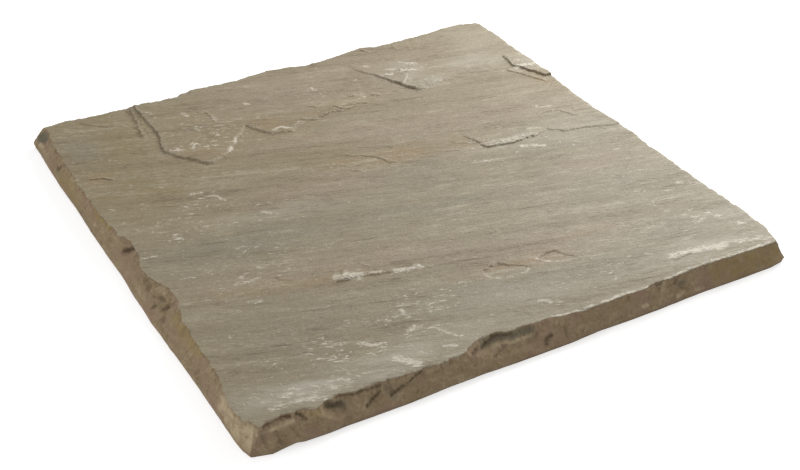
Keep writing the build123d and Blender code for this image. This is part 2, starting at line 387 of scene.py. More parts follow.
@dataclass
class CleftFace:
    """The riven upper face: its broken beds, crumbled patches, scuffs and soft tones."""

    jag_reach: float = 1.7
    wide_jag: float = 1.5
    fine_jag: float = 1.3
    jags: tuple[Grain, ...] = (
        Grain(11, 19.0, 2, 0.5),
        Grain(11, 5.5, offset=40.0),
        Grain(12, 19.0, 2, 0.5, 9.0),
        Grain(12, 5.5),
    )
    swell: float = 0.35
    swells: Grain = Grain(23, 130.0, 2, 0.5)
    lamina: float = 0.16
    lamina_levels: float = 6.0
    lamina_jag: float = 0.35
    fibre: float = 0.8
    crumb: float = 0.9
    calm_step: float = 0.25
    torn_step: float = 2.2
    calm_fibre: float = 0.4
    calm_crumb: float = 0.3
    riser_span: Span = (0.80, 1.0)
    torn_span: Span = (0.10, 0.60)
    drift: Grain = Grain(21, (110.0, 30.0), 5, 0.62)
    torn_zones: Grain = Grain(22, (70.0, 36.0), 3, 0.5, 5.0)
    fibres: Grain = Grain(24, (13.0, 3.6))
    crumbs: Grain = Grain(25, (4.4, 3.0), 2)
    ring_points: int = 12
    ring_reach: float = 0.5
    slope_core: float = 0.4
    rubble_grain: Grain = Grain(31, 3.6)
    rubble_rim: Point = (1.15, 0.45)
    step_width: float = 1.1
    mark_reach: float = 8.0
    mark_full: float = 5.0
    line_end: float = 0.10
    scuff_jag: float = 0.8
    scuff_soft: float = 0.6
    tone_reach: Point = (60.0, 14.0)
    tone_drift: float = 16.0
    tone_level: float = 0.8
    tone_break: float = 0.7
    break_scale: float = 1.7
    tone_drifts: tuple[Grain, ...] = (Grain(71, 1.0, 3, 0.5), Grain(72, 1.0, 3, 0.5))
    tone_breaks: Grain = Grain(73, 1.0, offset=3.0)
    safe_low: Point = (-272.0, -272.0)
    safe_high: Point = (287.0, 281.0)
    # The edges that the solid has: mark, width, slope and the line. The mark is how strongly the painted
    # shadow at the foot and the pale lip are laid.
    own_edges: tuple[Row, ...] = (
        (0.75, 0.9, 2.0, -183, 300, -183, 273, -181, 239, -181, 218, -183, 191, -186, 178),
        (0.65, 1.0, 2.4, -186, 178, -180, 162, -173, 151, -163, 145),
        (0.75, 1.2, 2.4, -172, 150, -164, 138, -158, 129, -147, 122),
        (0.0, 1.0, 4.0, -147, 125, -132, 134, -110, 156, -92, 175),
        (0.75, 1.3, 2.0, -88, 186, -79, 169, -68, 153, -54, 150, -39, 144),
        (0.0, 1.0, 3.0, -43, 147, -18, 161, 27, 169, 66, 178),
        (0.55, 0.9, 0.0, 88, 250, 97, 232, 106, 216, 115, 198),
        (0.9, 1.8, 0.0, 113, 202, 122, 182, 132, 163),
        (0.0, 1.0, 8.0, 134, 163, 151, 164, 172, 169, 200, 179),
        (1.0, 1.0, 0.0, 269, 188, 267, 163, 274, 146, 281, 134, 286, 119, 300, 110),
        (0.8, 1.0, 0.0, 122, 50, 128, 27, 131, 12, 140, 7, 160, 4, 200, 5, 215, 10),
        (0.35, 1.0, 0.0, 215, 10, 230, -3, 264, -10, 300, -22),
        (0.6, 1.0, 0.0, -129, -136, -110, -138, -73, -148, -46, -156),
        (0.6, 1.0, 0.0, -34, -156, -4, -169, 11, -178),
        (0.8, 1.0, 0.0, 2, -187, 11, -185, 28, -189, 43, -200, 51, -207),
        (0.8, 1.0, 0.0, 60, -198, 67, -194, 86, -194, 92, -205, 98, -213),
    )
    # The small edges: rise, mark, feather, width and the line. The mark is how strongly the painted shadow at
    # the foot and the pale lip are laid.
    small_edges: tuple[Row, ...] = (
        (0.5, 0.5, 8, 1.0, -115, 238, -112, 222, -114, 205),
        (0.3, 0.4, 7, 1.0, -100, 203, -90, 199, -84, 192),
        (0.2, 0.6, 6, 1.0, -172, 143, -166, 140, -160, 139), (0.2, 0.5, 6, 1.0, -109, 195, -100, 192),
        (0.3, 0.4, 8, 0.8, -8, 78, 8, 76, 22, 70), (0.2, 0.3, 8, 0.8, -60, 96, -44, 92, -30, 90),
        (0.3, 0.6, 7, 1.0, -185, 177, -181, 168), (0.3, 0.5, 7, 1.0, -190, 171, -186, 161),
        (0.3, 0.7, 7, 1.0, -138, 137, -130, 130), (0.4, 0.8, 9, 1.0, -76, 193, -66, 188, -55, 183),
        (0.9, 1.0, 9, 1.7, -24, 166, -16, 161, -9, 158, -2, 160),
        (0.7, 1.0, 9, 1.4, -1, 160, 11, 165, 23, 164, 30, 159),
        (0.6, 1.0, 8, 1.3, 24, 177, 30, 167, 41, 162, 50, 168),
        (0.9, 1.0, 9, 1.6, 43, 170, 53, 169, 64, 165), (0.5, 1.0, 7, 1.3, 51, 189, 60, 186),
        (0.5, 0.9, 8, 1.0, -5, 190, 2, 188, 6, 180), (0.6, 1.0, 8, 1.3, 76, 181, 85, 173),
        (0.3, 0.6, 9, 0.8, 88, 181, 100, 176, 111, 172), (0.5, 0.7, 9, 0.8, 128, 222, 136, 216, 145, 207),
        (0.4, 0.5, 12, 0.8, 170, 165, 188, 170, 207, 165, 237, 167),
        (0.8, 1.0, 8, 1.4, 121, 292, 123, 286, 126, 280), (0.4, 0.3, 8, 1.0, 160, 282, 162, 268),
        (-1.3, 0.8, 26, 4.0, -187, 300, -190, 273, -193, 248, -197, 224, -199, 211),
        (0.6, 0.7, 16, 1.0, -251, 281, -239, 270, -229, 261, -219, 256, -205, 249),
        (1.0, 0.9, 14, 1.0, -281, 158, -272, 157, -264, 154, -256, 144),
        (0.4, 0.6, 9, 1.0, -207, 188, -198, 183), (0.3, 0.4, 9, 1.0, -206, 196, -210, 186, -205, 176),
        (0.5, 0.5, 12, 1.0, 177, 259, 181, 270, 180, 284),
        (0.4, 0.5, 16, 1.0, 206, 172, 232, 166, 252, 162),
        (0.9, 0.8, 20, 1.0, 252, 156, 259, 147, 268, 128, 279, 106),
        (0.7, 0.6, 24, 1.0, -20, 74, -1, 62, 13, 50, 18, 41, 20, 34, 31, 29),
        (0.25, 0.15, 20, 1.0, 31, 29, 52, 22, 82, 16), (0.4, 0.5, 10, 1.0, 20, 69, 29, 66, 38, 61),
        (0.4, 0.6, 12, 1.0, 72, 30, 84, 26, 104, 18), (0.5, 0.7, 10, 1.0, 104, 34, 112, 31, 118, 27),
        (0.4, 0.7, 12, 1.0, 223, 44, 239, 45, 252, 41, 258, 31, 262, 21),
        (0.5, 0.7, 14, 1.0, 266, 32, 291, 29), (0.3, 0.5, 9, 1.0, 188, 41, 196, 38),
        (0.3, 0.3, 12, 1.0, 172, 81, 186, 74), (0.4, 0.6, 10, 1.0, -26, 40, -13, 31),
        (0.3, 0.5, 10, 1.0, -40, 62, -34, 55, -24, 52),
        (0.4, 0.4, 12, 1.0, -180, -99, -176, -106, -168, -111), (0.5, 0.7, 8, 1.0, -98, -118, -90, -130),
        (0.4, 0.5, 8, 1.0, 41, -136, 53, -139), (0.5, 0.8, 6, 1.0, 117, -132, 122, -134),
        (0.5, 0.5, 12, 1.0, 177, -264, 194, -264, 211, -267),
        (0.3, 0.2, 10, 1.0, -12, -250, 0, -262, 9, -272),
    )
    # Crumbled, pitted patches: middle, half length and half width, turn, height and roughness.
    rubble: tuple[Row, ...] = (
        (-117, -131, 9, 7, 0.2, 0.9, 1.5), (-52, -150, 6, 5, 0.5, 0.4, 1.1),
        (-84, -143, 14, 3, -0.15, 0.2, 0.8), (118, 212, 8, 7, 0.3, 0.3, 1),
        (140, 215, 20, 12, -0.5, 0.4, 1.2), (158, 228, 8, 12, 0.3, 0.4, 1.1),
        (154, 175, 22, 11, 0.15, 0.5, 1.3), (133, 192, 8, 18, -0.5, 0.3, 1.2),
        (-50, 158, 12, 4, -0.3, 0.4, 0.8), (-178, 172, 10, 5, -0.5, 0.2, 0.9),
        (-146, 168, 14, 7, -0.3, 0.2, 0.8), (160, 12, 42, 7, -0.08, 0.1, 0.9),
        (128, 29, 7, 9, 0.2, 0.3, 0.8), (283, 155, 13, 16, 0, 0.2, 0.9), (20, 45, 34, 14, -0.2, 0.1, 0.5),
        (-30, 52, 16, 12, -0.2, 0.1, 0.6), (10, 165, 60, 7, 0.1, 0.1, 0.5),
    )
    # Soft patches of each tone: middle, half length and half width, turn and strength.
    patches: tuple[tuple[Tone, tuple[Row, ...]], ...] = (
        # The olive patches, mostly on the left half, partly paint shade there.
        (Tone.OLIVE, (
            (-245, 215, 70, 90, 0, 1), (-240, 110, 75, 60, 0, 0.75), (-190, 240, 7, 40, 0, 0.7),
            (-150, 230, 60, 60, 0, 0.45), (-95, 115, 110, 50, -0.25, 0.75), (-120, 190, 70, 50, 0, 0.4),
            (-200, 20, 90, 50, -0.25, 0.3), (-215, -200, 80, 60, -0.1, 0.5),
        )),
        (Tone.MAUVE, (
            (-10, 235, 115, 50, 0, 0.7), (10, 108, 200, 20, -0.24, 0.7), (-60, 22, 70, 18, -0.2, 0.6),
            (-70, -120, 90, 14, -0.25, 0.6), (150, 75, 100, 18, -0.2, 0.5),
            (-190, -100, 70, 14, -0.28, 0.5), (225, -80, 70, 16, -0.2, 0.5), (150, 250, 70, 40, 0, 0.3),
            (60, -170, 90, 20, -0.2, 0.5),
        )),
        (Tone.SLATE, (
            (-185, -32, 95, 26, -0.15, 1), (-105, 108, 70, 34, -0.25, 0.35),
            (225, -225, 60, 26, -0.15, 0.7), (-205, -190, 80, 60, -0.1, 0.6), (35, 15, 50, 60, 0.2, 0.5),
            (0, -62, 130, 14, -0.2, 0.6), (-268, 225, 26, 36, 0, 0.9), (220, -120, 80, 40, -0.1, 0.5),
            (40, -225, 150, 26, -0.15, 0.7), (200, -20, 80, 26, -0.15, 0.5),
        )),
        (Tone.RUST, (
            (40, 42, 52, 18, -0.1, 0.8), (-22, 58, 26, 14, -0.2, 0.7), (110, 30, 18, 14, 0, 0.6),
            (-62, 172, 34, 18, 0, 0.6), (30, 172, 50, 12, 0.1, 0.5), (-150, 150, 30, 24, 0, 0.5),
            (-170, -118, 70, 10, -0.25, 0.6), (45, -196, 60, 10, -0.15, 0.7), (-270, 155, 16, 8, 0, 0.9),
            (278, 122, 10, 30, 0.2, 0.8), (125, -180, 50, 8, -0.15, 0.4),
        )),
        # The haze patches are partly pale bloom and partly painted sheen towards the right side.
        (Tone.HAZE_AND_SHEEN, (
            (262, 250, 40, 50, 0, 0.3), (228, 202, 38, 16, -0.1, 0.55), (165, 12, 36, 7, -0.05, 0.75),
            (140, 210, 30, 26, 0, 0.45), (152, 176, 24, 12, 0, 0.35), (285, 155, 14, 20, 0, 0.6),
            (275, 0, 26, 22, 0, 0.35), (-225, -262, 70, 16, -0.1, 0.8), (-130, -262, 50, 16, 0.1, 0.6),
            (-60, -258, 60, 22, 0, 0.35), (10, -240, 70, 26, -0.15, 0.3), (-150, -278, 26, 7, 0, 0.9),
            (240, 0, 50, 40, -0.15, 0.25), (215, -262, 80, 12, -0.12, 0.45), (284, -215, 22, 50, 0, 0.2),
            (-120, 0, 90, 14, -0.2, 0.35), (250, 188, 34, 14, -0.1, 0.5), (133, 192, 9, 24, -0.5, 0.55),
            (154, 176, 26, 10, 0.15, 0.55), (148, 230, 16, 12, 0, 0.5),
        )),
        (Tone.FLECKS, (
            (-205, -262, 90, 18, 0, 1), (140, 205, 34, 30, 0, 1), (-150, 170, 50, 30, -0.2, 1),
            (-130, 200, 75, 70, 0, 0.9), (0, 230, 110, 50, 0, 0.45), (-205, 30, 80, 80, 0, 0.7),
            (-190, -70, 80, 60, 0, 0.7), (-160, -235, 120, 50, 0, 0.9), (-60, -215, 60, 60, 0, 0.8),
            (100, -245, 110, 30, 0, 0.6), (250, -180, 50, 90, 0, 0.7), (220, -30, 80, 60, 0, 0.5),
            (150, 200, 70, 60, 0, 0.5), (140, 20, 90, 30, 0, 0.5), (-265, 200, 40, 80, 0, 0.4),
        )),
    )
    # Pale marks left by quarrying or handling: width, strength and the line.
    scuffs: tuple[Row, ...] = (
        (2, 0.8, -63, 229, -61, 226), (2, 0.6, -156, 168, -150, 162), (2.2, 0.8, -174, 170, -171, 168),
        (2, 0.5, -179, 272, -177, 269), (2, 0.5, -220, 271, -218, 269), (2.2, 0.7, 21, 229, 22, 222),
        (1.8, 0.4, 24, 212, 26, 198), (2.5, 0.8, -281, 92, -279, 90), (2.5, 0.6, -249, 85, -247, 84),
        (2.5, 0.7, -196, 78, -184, 76), (1.6, 0.7, -191, 67, -175, 66, -166, 49),
        (3, 0.7, -244, 16, -234, 6), (2.5, 0.6, -223, 15, -222, 14), (2.5, 0.6, -207, 12, -206, 11),
        (2.5, 0.6, -144, 25, -127, 23), (3, 0.7, -142, 10, -126, -2), (3, 0.6, -283, -8, -268, -11),
        (2.5, 0.6, -232, -62, -230, -64), (2.2, 0.6, -168, -60, -166, -62),
        (2.5, 0.5, -263, -60, -246, -61), (3, 0.6, -208, -84, -206, -85), (3, 0.6, -231, -90, -195, -95),
        (2.5, 0.6, -168, -95, -166, -96), (2.2, 0.5, -122, -72, -92, -74), (3, 0.8, 100, -11, 129, -19),
        (2, 0.6, 155, -14, 158, -16), (4, 0.8, 168, -7, 193, -19), (2.2, 0.7, 62, -30, 64, -31),
        (2, 0.7, 206, -45, 207, -50), (12, 0.25, 236, 194, 246, 180), (3.5, 0.8, 274, -152, 293, -166),
        (1.8, 0.6, 223, -151, 225, -152), (2.4, 0.6, 162, -242, 163, -245),
        (2.5, 0.6, 110, -262, 111, -263), (2.5, 0.6, 280, -255, 281, -257),
        (9, 0.5, -276, -252, -250, -262, -212, -267, -190, -276),
        (4.5, 0.75, -262, -271, -236, -272, -218, -280), (2.5, 0.6, -217, -124, -207, -128),
        (2.8, 0.7, -255, -164, -254, -166), (2.6, 0.6, -206, -206, -197, -215),
        (2.2, 0.5, -196, -199, -194, -200), (3.2, 0.8, -156, -228, -147, -237, -136, -241),
        (3.4, 0.8, -111, -238, -97, -231), (1.8, 0.8, -96, -236, -82, -245, -70, -265),
        (3, 0.7, -97, -204, -97, -216), (4, 0.6, -97, -197, -76, -202), (3, 0.6, -114, -206, -103, -211),
        (2, 0.6, -65, -184, -64, -187), (5.5, 1, -136, -264, -128, -274, -122, -280),
        (3, 0.9, -90, -270, -80, -275), (4, 0.6, 23, -256, 44, -268), (2.2, 0.7, -252, -100, -250, -104),
        (2.4, 0.7, -188, -20, -180, -24), (2, 0.6, -235, -130, -232, -133), (2.2, 0.7, -262, 60, -256, 57),
        (2, 0.6, -214, 45, -208, 42), (2.4, 0.7, 196, 22, 210, 16), (2.2, 0.7, 232, 60, 250, 52),
        (2.2, 0.6, 250, -60, 262, -66), (2.2, 0.8, 262, -215, 272, -226), (2, 0.8, 238, -205, 250, -222),
        (2.4, 0.8, 272, -240, 284, -248), (5, 0.9, 180, -257, 212, -262, 240, -268),
        (3, 0.7, 229, -271, 234, -273), (5, 0.7, 248, -267, 290, -280), (7, 0.9, -126, -128, -108, -137),
        (2, 0.8, -109, -137, -84, -140), (4, 0.9, -72, -147, -48, -153), (2, 0.4, -172, -146, -160, -147),
        (1.8, 1, -62, 158, -50, 159, -42, 152), (2, 0.7, -185, 174, -177, 169, -168, 163),
        (2.6, 0.9, -158, 166, -151, 171), (2.4, 0.8, -146, 161, -143, 160),
        (1.8, 0.7, -141, 163, -132, 158), (2.4, 0.7, -140, 206, -134, 207),
        (1.8, 0.6, -165, 201, -160, 199), (3.2, 0.9, -138, 243, -136, 236),
        (1.8, 0.6, -177, 272, -172, 262, -170, 248), (2.4, 1, -66, 231, -65, 226),
        (1.8, 0.55, -115, 239, -110, 228, -112, 206), (2.6, 0.9, -122, 142, -119, 147),
        (2.2, 0.9, -110, 155, -107, 162), (1, 0.6, -121, 160, -100, 153, -72, 145),
        (1.6, 0.9, 22, -281, 33, -285, 67, -287, 101, -286, 130, -289),
        (1.6, 0.9, 150, -286, 199, -283, 216, -284, 250, -286, 284, -287), (2.4, 0.9, 105, 247, 107, 243),
        (1.6, 0.55, -8, 169, 4, 171), (1.6, 0.5, 36, 175, 44, 174), (1.8, 0.6, -34, 157, -27, 163),
        (1.6, 0.6, 58, 178, 68, 180), (1.8, 0.9, 115, 215, 124, 212),
        (2.4, 0.8, 146, 238, 152, 232, 160, 226), (2.4, 0.9, 149, 213, 155, 209),
        (2, 0.7, 124, 184, 131, 192, 140, 201), (3.5, 0.7, 110, 214, 121, 211),
        (3.5, 0.8, 124, 227, 136, 218, 148, 211), (4, 0.6, 148, 231, 163, 224),
        (9, 0.35, 138, 180, 168, 166), (4, 1, 268, 155, 292, 150), (8, 0.5, 278, 170, 291, 180),
        (4, 0.6, 130, 18, 160, 12, 198, 8), (3.5, 0.5, 178, 36, 181, 25),
        (1.6, 0.7, 3, -198, 12, -207, 22, -211, 46, -208), (1.6, 0.7, 60, -196, 70, -208, 92, -216),
    )

    def edges(self) -> list[BrokenEdge]:
        """The edges of both lists."""
        edges = []
        for mark, width, slope, *line in self.own_edges:
            edges.append(BrokenEdge(paired(line), mark, width, slope=slope))
        for rise, mark, feather, width, *line in self.small_edges:
            edges.append(BrokenEdge(paired(line), mark, width, rise, feather))
        return edges

    def crumpled(self, places: np.ndarray) -> np.ndarray:
        """Moves places in plan a little at random, so that a line drawn through them breaks as stone does."""
        wide_x, fine_x, wide_y, fine_y = (grain.over(places) for grain in self.jags)
        shift_x = self.wide_jag * wide_x + self.fine_jag * fine_x
        shift_y = self.wide_jag * wide_y + self.fine_jag * fine_y
        return places + self.jag_reach * np.stack([shift_x, shift_y], axis=1)

    def laminae(self, places: np.ndarray) -> np.ndarray:
        """The thin beds that the split runs through, as shallow steps along their lie.

        Args:
            places: Places in plan, one per row.

        Returns:
            The height of each place's lamina, in millimetres.
        """
        lie = along_bedding(places)
        level = self.drift.over(lie) * self.lamina_levels
        part = level - np.floor(level)
        riser = smooth_step(*self.riser_span, part)
        strength = smooth_step(*self.torn_span, self.torn_zones.over(lie))
        steps = (riser - part) * (self.calm_step + self.torn_step * strength)
        fibre = self.fibre * self.fibres.over(lie) * (self.calm_fibre + strength)
        crumbs = self.crumb * self.crumbs.over(lie)
        return self.lamina * (steps + fibre + crumbs * (self.calm_crumb + (1.0 - self.calm_crumb) * strength))

    def eased(self, torn: np.ndarray, height: np.ndarray, edge: BrokenEdge, probe: SolidProbe) -> np.ndarray:
        """Eases the heights along a worn edge of the solid.

        Args:
            torn: Places in plan, one per row, in millimetres.
            height: The height at each place.
            edge: The worn edge.
            probe: The solid that the face follows.

        Returns:
            The heights, with a slope in place of the edge.
        """
        distance = line_distance(torn, edge.points)[0]
        near = np.flatnonzero(distance < edge.slope)
        turns = np.linspace(0.0, 2.0 * math.pi, self.ring_points, endpoint=False)
        ring = edge.slope * self.ring_reach * np.stack([np.cos(turns), np.sin(turns)], axis=1)
        around = [
            probe.face_height(np.clip(torn[near] + part * step, self.safe_low, self.safe_high))
            for step in ring
            for part in (0.5, 1.0)
        ]
        share = smooth_step(edge.slope, edge.slope * self.slope_core, distance[near])
        soft = height.copy()
        soft[near] += share * (np.mean(around, axis=0) - height[near])
        return soft

    def cleave(self, places: np.ndarray, probe: SolidProbe) -> tuple[np.ndarray, np.ndarray, np.ndarray]:
        """Works out the cleft face.

        Args:
            places: Places in plan, one per row, in millimetres.
            probe: The solid that the face follows.

        Returns:
            The height at each place, how far it is from the nearest broken edge, above 0 on the bed's side,
            and how strongly that edge is marked with a painted shadow at its foot and a pale lip.
        """
        edges = self.edges()
        torn = self.crumpled(places)
        felt = probe.face_height(np.clip(torn, self.safe_low, self.safe_high))
        height = np.where(np.isnan(felt), np.nanmedian(felt), felt)
        for edge in edges:
            if edge.slope:
                height = self.eased(torn, height, edge, probe)
        height = height + self.swell * self.swells.over(places)
        height = height + self.laminae(places + self.lamina_jag * (torn - places))
        nearest = np.full(len(places), self.mark_reach)
        gap = nearest.copy()
        mark = np.zeros(len(places))
        for edge in edges:
            distance, side, share = line_distance(torn, edge.points)
            signed = distance * side
            ends = smooth_step(0.0, self.line_end, share) * smooth_step(1.0, 1.0 - self.line_end, share)
            closer = (distance < nearest) & (edge.mark > 0.0)
            shown = edge.mark * ends * smooth_step(self.mark_reach, self.mark_full, distance)
            nearest = np.where(closer, distance, nearest)
            gap = np.where(closer, signed / edge.width, gap)
            mark = np.where(closer, shown, mark)
            if edge.rise:
                ramp = self.step_width * edge.width / 2
                stand = smooth_step(-ramp, ramp, signed)
                fade = np.clip(1.0 - distance / edge.feather, 0.0, 1.0) ** 2
                height += abs(edge.rise) * ends * fade * (stand - 1.0 if edge.rise < 0.0 else stand)
        for x, y, half_length, half_width, turn, lift, roughness in self.rubble:
            spread = spread_from(torn, (x, y), (half_length, half_width), turn)
            near = spread < self.rubble_rim[0]
            lump = smooth_step(*self.rubble_rim, spread[near])
            height[near] += lump * (lift + roughness * self.rubble_grain.over(places[near]))
        return height, gap, mark

    def chalk(self, places: np.ndarray) -> np.ndarray:
        """How strongly each place in plan is scuffed pale.

        Args:
            places: Places in plan, one per row, in millimetres.

        Returns:
            The strength from 0 to 1.
        """
        torn = places + self.scuff_jag * (self.crumpled(places) - places)
        chalk = np.zeros(len(places))
        for width, strength, *line in self.scuffs:
            distance = line_distance(torn, paired(line))[0]
            chalk = np.maximum(chalk, strength * np.exp(-((distance / (width + self.scuff_soft)) ** 2)))
        return chalk

    def tones(self, places: np.ndarray) -> dict[Tone, np.ndarray]:
        """How strongly each tone lies on each place.

        Args:
            places: Places in plan, one per row, in millimetres.

        Returns:
            The strength of each tone, from 0 to 1.
        """
        bedded = along_bedding(places) / np.array(self.tone_reach)
        drifts = np.stack([grain.over(bedded) for grain in self.tone_drifts], axis=1)
        drifted = places + self.tone_drift * drifts
        broken = self.tone_level + self.tone_break * self.tone_breaks.over(bedded * self.break_scale)
        tones = {}
        for tone, rows in self.patches:
            laid = np.zeros(len(places))
            for x, y, half_length, half_width, turn, strength in rows:
                spread = spread_from(drifted, (x, y), (half_length, half_width), turn)
                laid = np.maximum(laid, strength * np.exp(-(spread**2)))
            tones[tone] = np.clip(laid * broken, 0.0, 1.0)
        return tones


@dataclass
class DressedSides:
    """The four sides, chiselled down to the foot by hand in shallow flakes that overlap."""

    corner_reach: float = 38.0
    lump: float = 1.1
    groove: float = 0.30
    strata: float = 0.28
    grit: float = 0.22
    flakes_per_side: int = 120
    arris_calm: float = 0.65
    arris_jag: float = 1.5
    stand_out: float = 0.5
    crest_reach: float = 2.4
    crest_height: float = 0.5
    bite_seed: int = 41
    bite_leans: Point = (-0.2, 0.3)
    furrow_depth: float = 2.2
    furrow_lean: float = 0.45
    furrow_rise: float = 0.26
    furrow_span: Span = (0.0, 0.5)
    calm_span: Span = (19.0, 26.0)
    foot_share: float = 0.3
    foot_span: Span = (0.0, 8.0)
    jag_lean: float = 0.3
    jag_span: Span = (-0.06, 0.06)
    small_jag: float = 0.55
    jag_heights: Span = (16.0, 25.0)
    jag_shares: Row = (0.9, 0.5, 0.6, 1.0)
    front_calm: float = 0.6
    front_calm_span: Span = (-10.0, 30.0)
    drift_reach: Point = (1.8, 1.2)
    stain_and_painted_light_gain: float = 1.35
    furrows: Grain = Grain(51, 4.6)
    furrow_zones: Grain = Grain(52, 40.0, 2, 0.5)
    beds: Grain = Grain(53, (70.0, 1.0, 2.6))
    lumps: Grain = Grain(54, 19.0, 4, 0.58)
    grits: Grain = Grain(55, 2.8, 2)
    drift_along: Grain = Grain(56, 8.0)
    drift_up: Grain = Grain(56, 7.0, offset=31.0)
    broad_jags: Grain = Grain(57, 17.0, 2, 0.5)
    small_jags: Grain = Grain(58, 7.0, 2, 0.5)
    # The scattered flakes: spans of the place along, height, half length, half height and depth.
    bite_spans: tuple[Span, ...] = ((-300.0, 300.0), (1.0, 27.0), (8.0, 24.0), (5.0, 12.0), (0.3, 1.3))
    # The flakes that the photograph shows, in the same measures.
    bites: tuple[tuple[Side, tuple[Row, ...]], ...] = (
        (Side.FRONT, (
            (-268, 23, 22, 5, 1.6), (-209, 18, 16, 6, 2.6), (-176, 16, 14, 9, 1.6), (-148, 15, 14, 9, 1.4),
            (-46, 21, 26, 6, 2.2), (-2, 13, 20, 8, 1.8), (142, 22, 8, 6, 2.2), (168, 15, 16, 8, 1.6),
            (214, 17, 24, 8, 1.2), (262, 14, 20, 9, 1.2),
        )),
        (Side.LEFT, (
            (215, 14, 14, 6, 1.4), (22, 19, 12, 6, 1.8), (-80, 15, 14, 6, 1.8), (-130, 20, 30, 6, 1.4),
        )),
    )
    # Lines and spots on the sides: width, strength and the line. The cracks along the top are partly painted
    # shadow under the arris, the grey marks are painted shade in pockets, and the pale marks are partly
    # painted highlight on ledges.
    marks: tuple[tuple[Side, SideTone, tuple[Row, ...]], ...] = (
        (Side.FRONT, SideTone.CRACK_AND_SHADE, (
            (1.5, 0.8, -281, 26, -268, 25.5, -252, 24), (1.6, 0.35, -281, 19, -279, 9),
            (1.6, 0.35, -268, 18, -266, 8), (1.6, 0.3, -254, 18, -250, 10), (1.3, 0.7, -248, 26, -240, 20),
            (2, 0.5, -218, 22, -211, 20.5, -204, 20), (1.2, 0.55, -218, 25, -190, 24.5, -165, 24),
            (1.2, 0.75, -167, 20.5, -182, 13), (1.2, 0.7, -125, 25, -140, 19, -158, 14.5),
            (1.4, 0.6, -70, 21.5, -62, 21.5), (1.2, 0.6, -58, 20, -42, 23.5, -25, 24.5),
            (1.1, 0.45, -34, 17, -48, 13.5), (1.8, 0.85, 5, 10, 13, 15), (1.6, 0.3, -10, 15, 0, 18),
            (1.5, 0.3, 28, 10, 30, 16), (1.5, 0.25, 45, 9, 50, 14), (2, 0.85, 139, 25, 146, 26),
            (1.8, 0.45, 160, 20, 166, 25),
        )),
        (Side.FRONT, SideTone.PALE_AND_HIGHLIGHT, (
            (1.4, 0.45, -284, 20.5, -250, 20), (1.3, 0.45, -56, 17.6, -20, 18.5, -4, 18),
            (1.8, 0.5, 118, 11, 124, 11), (1.8, 0.45, 160, 8, 168, 10), (1.8, 0.45, 183, 7.5, 193, 7.5),
            (2, 0.3, 148, 24, 142, 16, 138, 8), (1, 0.55, 62, 26.4, 140, 26.4),
            (1, 0.6, 150, 26.4, 290, 26.4),
        )),
        (Side.FRONT, SideTone.GREY_SHADE, (
            (2.6, 0.6, -217, 22, -208, 20, -202, 18), (4, 0.3, -160, 22, -156, 14),
            (3.2, 0.65, -56, 22, -30, 23, -4, 22), (3.2, 0.5, 166, 17, 171, 19),
        )),
        (Side.FRONT, SideTone.OLIVE, (
            (4, 0.6, -232, 25, -228, 25), (13, 0.55, 215, 14, 298, 14),
        )),
        (Side.LEFT, SideTone.CRACK_AND_SHADE, (
            (2.6, 0.65, -83, 17, -80, 15), (1.6, 0.45, -71, 17, -66, 18), (1.8, 0.6, -70, 12, -69, 11),
            (2, 0.4, -95, 12, -89, 11), (3, 0.35, -48, 19, -36, 21), (2.6, 0.75, 14, 25, 20, 21, 25, 18.5),
            (2.6, 0.5, 203, 26, 208, 23), (3, 0.5, 213, 16, 218, 13), (2.6, 0.35, 236, 25, 240, 22),
        )),
        (Side.LEFT, SideTone.PALE_AND_HIGHLIGHT, (
            (9, 0.45, -292, 14, -262, 15, -238, 17), (2.4, 0.4, -257, 15, -248, 17),
            (1.8, 0.5, -3, 10, 0, 10), (1.8, 0.5, 90, 12.5, 94, 12), (1.8, 0.5, 258, 10.5, 286, 10),
        )),
        (Side.LEFT, SideTone.GREY_SHADE, (
            (6, 0.8, 280, 18, 290, 16),
        )),
        (Side.LEFT, SideTone.OLIVE, (
            (4.5, 0.75, -170, 23, -136, 20, -104, 22), (4.5, 0.8, 64, 25, 82, 23, 100, 21),
            (9, 0.5, 150, 14, 200, 12),
        )),
    )

    def all_bites(self) -> list[ChiselBite]:
        """The listed flakes, and those all round, placed at random but the same on every run."""
        bites = [ChiselBite(side, *row) for side, rows in self.bites for row in rows]
        chance = np.random.default_rng(self.bite_seed)
        for side in Side:
            for _ in range(self.flakes_per_side):
                bites.append(ChiselBite(side, *(float(chance.uniform(*span)) for span in self.bite_spans)))
        return bites

